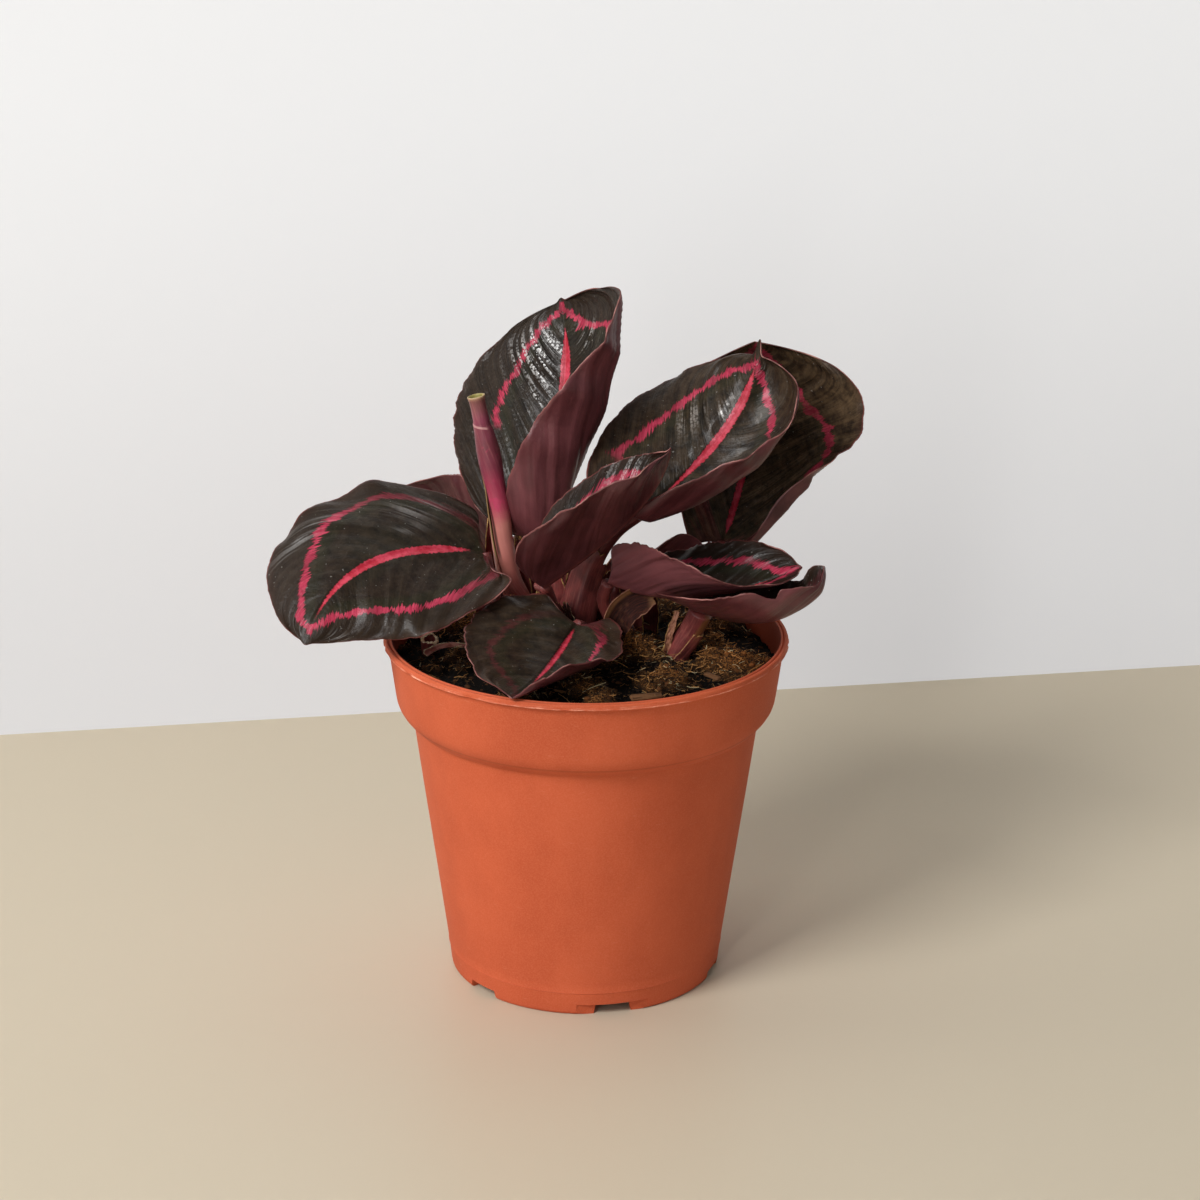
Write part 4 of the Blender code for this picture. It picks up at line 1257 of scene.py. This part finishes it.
def scroll(along, angle):
    """The rolled leaf's radius: thinner past its collar, wider where the outer margin is loose."""
    tube = np.interp(along, *zip(*ROLLED_RADII))
    collar_at = 0.89 - 0.0095 * angle
    tube = tube - 0.25 * step(along, collar_at - 0.003, collar_at + 0.003)
    loose = step(angle, 2.9, 4.08) * step(along, 0.3, 0.45) * step(-along, -0.68, -0.54)
    return tube * (1 - 0.12 * (4.1 - angle) / 8.2) + 0.5 * loose


points = from_soil(ROLLED_ROUTE, 4, 0)
rolled = wrap("rolled_blade", points, scroll, columns=96, rows=160, turns=1.3, twist=(2.79, -3.3))
dress(rolled, (young, inner_green), 0.3, -1, rim=0, replaced=["rolled_leaf"])

# %% [markdown]
# ## Potting mix
# The pot is filled with peat and coir: a dark, lumpy top with golden fibres. The solid of the
# soil stays as the fill. On it lies a grid drawn into a disc and raised in lumps.

# %% Soil
mix = Finish("potting_mix", {"Specular IOR Level": 0.15})
spot = mix.place()
clods = mix.noise(spot, 0.22, 5, 0.65)
fibres = mix.noise(spot, 2.4, 4, 0.75)
heap, gold, _ = mix.attribute("heap")
earth = mix.layers(
    "0a0502",
    # darker down in the hollows and lighter up on the lumps: painted shade and painted light
    ("33200f", 1, heap + clods, -0.3, 1.3),
    # golden fibres, more of them higher up: the coir's tone with painted light
    ("9a6430", mix.span(fibres, 0.5, 0.7) * mix.span(heap, -0.8, 1)),
    ("b87840", mix.span(gold, 0, 1) * mix.span(fibres, 0.4, 0.6) * 0.6),
)
mix.give({"Base Color": earth, "Roughness": 0.9, "Normal": mix.bump(fibres, 0.5)})
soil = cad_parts["potting_soil"]
for slot in soil.material_slots:
    slot.material = mix.material
# place from the pot's axis, radius and height of the golden mounds (+) and the hollows (-); the finishes
# darken the hollows as painted shade
MOUNDS = (
    (11, -3, 6, 3.6), (37, -11, 7, 3.6), (31, 12, 6, 2.4), (1, -33, 5, 2.4), (21, -24, 5, 2),
    (-26, -26, 9, -3), (-21, -19, 3, 2), (-30, 22, 9, 2.4), (2, 34, 10, 2.4), (42, 3, 6, -3.4),
    (7, -26, 5, -4), (19, 8, 6, -4), (-41, 0, 9, -2.6), (25, -33, 5, -3), (-12, -36, 6, -1.4),
    (-36, -18, 6, -2), (30, -22, 4, -3), (20, -4, 3, -3.5), (39, 12, 4, -3.5), (12, -37, 4, -2.5),
    (14, -17, 4, -2.5),
)
print("soil has", len(MOUNDS), "mounds and hollows")


# %% Lumpy top
def clump(x, y):
    """Where golden coir gathers (1) and where the hollows lie (-1), which the finishes darken as painted
    shade.
    """
    heap = ripple(x * 0.1, y * 0.1, 3) * 0.45 + ripple(x * 0.24, y * 0.24, 6) * 0.4
    for middle_x, middle_y, radius, height in MOUNDS:
        far = ((x - middle_x) ** 2 + (y - middle_y) ** 2) / radius**2
        heap = heap + height / 3 * np.exp(-far)
    return np.clip(heap, -1, 1)


def lumps(x, y):
    """How far the lumpy top stands above or below its mean, in millimetres."""
    small = ripple(x * 0.35, y * 0.35, 5) * 0.9 + ripple(x * 0.9, y * 0.9, 8) * 0.5
    return np.maximum(clump(x, y) * 3.8 + small, -1.6)


def topsoil_height(x, y):
    """Height of the lumpy top at places, given as arrays."""
    return soil_height(x, y) + 1.7 + lumps(x, y)


TOPSOIL_RADIUS = 49


def topsoil_shape(across, share):
    """A square grid drawn into a disc, just inside the pot."""
    x, y = across, share * 2 - 1
    longest = np.maximum(np.abs(x), np.abs(y)) + 1e-9
    round_out = longest / (np.hypot(x, y) + 1e-9)
    x, y = x * round_out * TOPSOIL_RADIUS, y * round_out * TOPSOIL_RADIUS
    heap = np.stack([lumps(x, y), clump(x, y), x * 0], 1)
    return np.stack([x, y, topsoil_height(x, y)], 1), {"heap": heap}


topsoil = lay("topsoil", 200, 200, topsoil_shape)
dress(topsoil, [mix], 1.5, -1)

# %% [markdown]
# ## Fibres, crumbs and chips
# Up close the mix is a mat of curly coir fibres over crumbs of peat, with a few chips of bark.
# Hair particles would do the fibres, but they aren't a mesh. So a handful of patterns are
# modelled, and thousands of copies are strewn over the soil and joined into one piece each.
# Every copy keeps two random numbers and how golden its clump is, and the finish takes its tone
# from them: fibres down in the hollows are darkened as painted shade, and crumbs on the mounds are
# lightened as painted light.

# %% Patterns: a curly fibre, a crumb and a chip
chance = np.random.default_rng(12)


def fibre_pattern(radius):
    """A curly wire about 1 long, as a mesh."""
    empty_hands()
    bpy.ops.curve.primitive_nurbs_path_add(radius=1)
    wire = bpy.context.object
    place, heading = np.array([-0.5, 0.0, 0.0]), 0.0
    for point in wire.data.splines[0].points:
        point.co = (*place, 1)
        heading += chance.normal(0, 1.3)
        place = place + np.array([math.cos(heading), math.sin(heading), chance.normal(0, 0.35)]) * 0.28
    wire.data.bevel_depth = radius
    wire.data.bevel_resolution = 0
    wire.data.resolution_u = 1
    wire.data.use_fill_caps = True
    bpy.ops.object.convert(target="MESH")
    return bpy.context.object


def crumb_pattern(seed):
    """A rough crumb about 1 across."""
    empty_hands()
    bpy.ops.mesh.primitive_ico_sphere_add(subdivisions=1, radius=0.5)
    crumb = bpy.context.object
    bpy.ops.object.mode_set(mode="EDIT")
    bpy.ops.transform.vertex_random(offset=0.16, seed=seed)
    bpy.ops.transform.resize(value=(1, 0.75, 0.7))
    bpy.ops.object.mode_set(mode="OBJECT")
    return crumb


def chip_pattern(seed):
    """A splinter of bark about 1 long, from a bevelled block."""
    empty_hands()
    bpy.ops.mesh.primitive_cube_add(size=1)
    chip = bpy.context.object
    bpy.ops.object.mode_set(mode="EDIT")
    bpy.ops.transform.resize(value=(1, 0.36, 0.16))
    bpy.ops.mesh.bevel(offset=0.05, segments=1, affect="EDGES")
    bpy.ops.mesh.subdivide(number_cuts=1)
    bpy.ops.transform.vertex_random(offset=0.03, seed=seed)
    bpy.ops.object.mode_set(mode="OBJECT")
    return chip


# %% Strew copies over the soil
INNER_RADIUS = 48.6


def strew(name, patterns, places, turns, sizes, finish):
    """Copies of the patterns, each at a place (mm), turned and scaled, joined into one piece.

    What would stick through the pot is drawn in to the inner radius, which shrinks downwards.
    """
    forms = []
    for pattern in patterns:
        corners = np.array([corner.co for corner in pattern.data.vertices])
        forms.append((corners, [list(face.vertices) for face in pattern.data.polygons]))
        bpy.data.objects.remove(pattern)
    golden_and_painted_shading = clump(places[:, 0], places[:, 1]) * 0.5 + 0.5
    corners, faces, tones, count = [], [], [], 0
    for index, (place, turn, size) in enumerate(zip(places, turns, sizes)):
        form, sides = forms[index % len(forms)]
        copy = (form * size) @ np.array(turn.to_matrix()).T + place
        inner = INNER_RADIUS - WALL_SLOPE * np.maximum(0, POT_HEIGHT - copy[:, 2])
        far = np.maximum(np.hypot(copy[:, 0], copy[:, 1]) / inner, 1)
        copy[:, :2] /= far[:, None]
        corners.append(copy)
        faces += [[corner + count for corner in side] for side in sides]
        tones.append(np.tile((chance.random(), golden_and_painted_shading[index], chance.random()), (len(form), 1)))
        count += len(form)
    mesh = bpy.data.meshes.new(name)
    mesh.from_pydata((np.concatenate(corners) * MM + np.array(AXIS)).tolist(), [], faces)
    keep(mesh, "tone", np.concatenate(tones))
    piece = bpy.data.objects.new(name, mesh)
    bpy.context.scene.collection.objects.link(piece)
    dress(piece, [finish])


def scatter(count, reach, lift, gathered=0.0):
    """Random places on the soil, with a random turn each, gathered on the golden clumps."""
    radius, angle = reach * np.sqrt(chance.random(count * 3)), chance.random(count * 3) * 2 * math.pi
    x, y = radius * np.cos(angle), radius * np.sin(angle)
    wanted = np.argsort(-(clump(x, y) * gathered + chance.random(count * 3)), kind="stable")[:count]
    x, y = x[wanted], y[wanted]
    places = np.stack([x, y, topsoil_height(x, y) + lift], 1)
    turns = [
        Quaternion((0, 0, 1), chance.random() * 6.28) @ Quaternion((1, 0, 0), chance.normal(0, 0.45))
        for _ in range(count)
    ]
    return places, turns


# %% Finishes of coir, peat and bark
coir = Finish("coir", {"Roughness": 0.75, "Specular IOR Level": 0.25})
tone, second, third = coir.attribute("tone")
straw = coir.layers(
    "1c0f06",
    ("d29a5c", 1, tone, 0.45, 1),
    ("cc8240", coir.span(second, 0.5, 1) * coir.span(tone, 0.4, 0.9) * 0.6),
    # fibres in the hollows are darkened: painted shade
    ("1a0e07", 0.68, second, 0.62, 0.25),
    ("e6d2a4", coir.span(third, 0.95, 0.97) * coir.span(second, 0.3, 0.6) * 0.9),
)
coir.give({"Base Color": straw})
peat = Finish("peat", {"Roughness": 0.9, "Specular IOR Level": 0.2})
tone, second, _ = peat.attribute("tone")
pores = peat.noise(peat.place(), 2.2, 4, 0.7)
# crumbs on the golden mounds are lighter: their tone with painted light
crumbly = peat.layers("1a0f09", ("5c3a20", tone * 0.5 + pores * 0.5), ("a8642e", 0.55, second, 0.45, 1))
peat.give({"Base Color": crumbly, "Normal": peat.bump(pores, 0.4)})
bark = Finish("bark", {"Roughness": 0.8, "Specular IOR Level": 0.25})
tone = bark.attribute("tone")[0]
rings = bark.noise(bark.stretch(bark.place(), (1, 1, 4)), 1.2, 3)
woody = bark.layers("3c2416", ("8e623c", tone * 0.5 + rings * 0.5))
bark.give({"Base Color": woody, "Normal": bark.bump(rings, 0.3)})
print("coir, peat and bark have", sum(len(finish.tree.nodes) for finish in (coir, peat, bark)), "nodes")

# %% Strew fibres, crumbs and chips
# name, number, least and greatest length, height over the soil, and radius as a share of length
for name, count, low, high, lift, radius in (
    ("soil_fibres", 6200, 1, 3, 0.2, 0.034),
    ("soil_fuzz", 6900, 0.6, 2.1, 0.5, 0.036),
    ("soil_threads", 450, 3.5, 8, 0.7, 0.012),
):
    places, turns = scatter(count, 48.3, lift, 0.35)
    fibres = [fibre_pattern(radius) for _ in range(8)]
    strew(name, fibres, places, turns, chance.uniform(low, high, count), coir)
places, turns = scatter(2000, 48, -0.1, 0.1)
crumbs = [crumb_pattern(seed) for seed in range(7)]
strew("soil_crumbs", crumbs, places, turns, 0.4 + chance.random(2000) ** 3 * 2, peat)
places, turns = scatter(14, 46, 0.4)
places[0], turns[0] = (14.8, -43.8, 91), Quaternion((0, 0, 1), 0.25)
places[1], turns[1] = (31.5, -30.5, 91.5), Quaternion((0, 0, 1), -0.9)
sizes = chance.uniform(1.5, 4, 14)
sizes[:2] = 8, 5
strew("bark_chips", [chip_pattern(seed) for seed in range(5)], places, turns, sizes, bark)

# %% [markdown]
# ## Remains of older leaves
# Older leaves have left a cut stump with a pale rim, a strip of dry sheath on the soil and a
# cupped, fibrous sheath that leans on a stem. Their solids are plain, so each gets a ragged piece
# of its own: the stump is a wrapped grid, the others are grids laid on a curve. A few torn flakes
# hang between the stems.

# %% Dry skin, and a ragged band
dry = Finish("dry_skin", {"Specular IOR Level": 0.25})
round_it, up_it, share = dry.attribute("wrap")
threads = dry.grain(round_it * 2.6, up_it * 0.25, 0, 4, 0.7)
husk = dry.layers(
    "240f0d",
    ("54291f", 1, threads, 0.35, 0.7),
    ("7a4e34", 0.35, dry.noise(dry.place(), 0.5, 3), 0.5, 0.75),
    # paler towards the upper end and along one edge: partly the dry tan of the rim, partly a painted
    # highlight where the husk rounds over
    ("b08058", 0.7, share, 0.86, 1),
    ("b07a50", 0.8, round_it, -2.4, -3.6),
)
dry.give({"Base Color": husk, "Roughness": 0.62 + threads * 0.2, "Normal": dry.bump(threads, 0.3)})
husk_rim = flecked("husk_rim", (0.6, 0.3), (0.5, 4, 0.65), (0.35, 0.65), ("6e3f30", "a8745a"))
# The stump's rim is pale in itself; it and the torn strip are painted lighter still, as painted light, where
# the left leaf shades them.
pale_edge = flecked("pale_edge", (0.8, 0.2), (1.6, 4, 0.7), (0.35, 0.65), ("b8946c", "fbeccb"), 0.25)
torn = flecked("torn_strip", (0.5, 0.35), (0.4, 3), (0.4, 0.6), ("b06a5e", "e2a294"))
print("dry skin has", len(dry.tree.nodes), "nodes")


def strip(name, points, width, ragged, seed, cup, columns=24, rows=60):
    """A ragged band along a route: width(along) is half its width, cup bends it upwards."""
    on_route, length = follow(points)

    def shape(across, along):
        along = np.clip(along * (1 + ragged * ripple(across * 3, along * 0, seed)), 0, 1)
        centre, ahead = on_route(along)
        away = unit(np.cross(ahead, np.array([0, -1.0, 0.35])))
        lift = np.cross(away, ahead)
        reach = width(along) * (1 + ragged * ripple(along * 9, across * 0.6, seed + 1))
        angle = across * cup
        out = reach * (np.sin(angle) / cup)
        rise = reach * (1 - np.cos(angle)) / cup + 0.25 * ripple(along * 8, across * 2, seed + 2)
        places = centre + away * out[:, None] + lift * rise[:, None]
        return places, {"wrap": np.stack([across * reach, along * length, along], 1)}

    return lay(name, columns, rows, shape)


# %% Stump, strip and cupped sheath
def stump_radius(along, angle):
    chipped = 0.25 * np.sin(angle * 3) * step(along, 0.8, 1)
    return 1.65 + 0.3 * along + chipped


def stump_top(angle):
    return 0.94 + 0.05 * np.sin(angle * 2 + 1) + 0.02 * np.sin(angle * 9)


def cup_width(along):
    return 3 + 1.8 * step(along, 0, 0.4) - 2.4 * step(along, 0.8, 1)


points = [(-40.6, 2.5, 82), (-40.6, 2.5, 85), (-40.7, 2.1, 88), (-40.5, 1.6, 89.8)]
stump = wrap("stump", points, stump_radius, 40, 30, trim=stump_top)
dress(stump, (stem_skin, stem_skin, pale_edge), 0.95, replaced=["cut_stump"])
points = [(-41.6, -5.8, 88), (-38, -1.4, 88.5), (-34.7, -0.2, 88.5), (-31.6, -0.4, 88.4), (-27, 0.8, 88.2)]
fallen = strip("fallen_strip", points, lambda along: 0.6 + 0.4 * (1 - along) ** 2, 0.1, 4, 0.9)
dress(fallen, (torn, torn, pale_edge), 0.25, replaced=["fallen_sheath"])
points = [(7.4, -4, 91.5), (8.4, -4.3, 97.5), (12, -4.6, 101.6), (17.4, -4.8, 103.6)]
cupped = strip("cupped_sheath", points, cup_width, 0.04, 9, 1.2, 48, 60)
dress(cupped, (dry, dry, husk_rim), 0.3, replaced=["dry_sheath"])

# %% Torn flakes
FLAKES = (
    ((5.2, 0, 95), (5.6, -0.8, 97.5), (5.4, -0.6, 100.5)),
    ((20.8, -8, 90), (21.4, -9, 95), (23.2, -8.6, 101)),
    ((-3.5, 1, 93), (-4.5, 0.6, 96.5), (-5.5, 1.4, 100)),
)
for index, points in enumerate(FLAKES):
    flake = strip(f"flake_{index + 1}", points, lambda along: 1.1 - 0.8 * abs(along - 0.4), 0.25, index, 0.8)
    skin, rim = (husk_rim, dry_edge) if index == 1 else (dry, pale_edge)
    dress(flake, (skin, skin, rim), 0.18)

# %% Inner sheaths at the crown, several of them put where the crown lies in shade
# Some are the plant's inner sheaths; several behind the stems stand where the crown is only in shade, as
# painted shade: burgundy sheets that hide the lit inside of the pot.
# the route of each, and half its width
CROWN = (
    (((-8, 13, 87), (-9, 13.5, 96), (-9.5, 14, 106)), 5.5),
    (((5, 12, 87), (5.5, 12.5, 96), (6.5, 12, 105)), 5),
    (((-1, 17, 87), (-1.5, 18, 97), (-2, 19, 107)), 6),
    (((-17, 5, 86), (-18, 4, 94), (-19.5, 3.5, 101)), 3),
    (((12, 8, 87), (12.5, 7.5, 94), (13.5, 6.5, 100)), 3.2),
    (((-25, 14, 86), (-26, 14, 94), (-27, 14.5, 101)), 4.5),
    (((-9, 22, 87), (-9, 23, 97), (-9, 24, 107)), 6),
    (((7, 20, 87), (7, 21, 96), (7.5, 22, 105)), 5.5),
    (((15, 15, 87), (15.5, 15, 95), (16.5, 15, 102)), 4.5),
    (((-22, 15.5, 87), (-23.5, 16, 102), (-25, 16.5, 118)), 4),
    (((-16, 13.5, 87), (-17, 13.5, 102), (-18, 13.5, 114)), 3),
)
for index, (points, wide) in enumerate(CROWN):
    name = f"crown_sheath_and_painted_shade_{index + 1}"
    sheet = strip(name, points, lambda along: wide * (1 - 0.75 * along**3), 0.06, 20 + index, 1.0, 32, 50)
    dress(sheet, (stem_skin, stem_skin, dry_edge), 0.35)

# %% Compare sizes and finish
seen_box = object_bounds()
sizes = [[list(corner) for corner in box] for box in (solid_box, seen_box)]
print("solids", sizes[0])
print("seen  ", sizes[1])
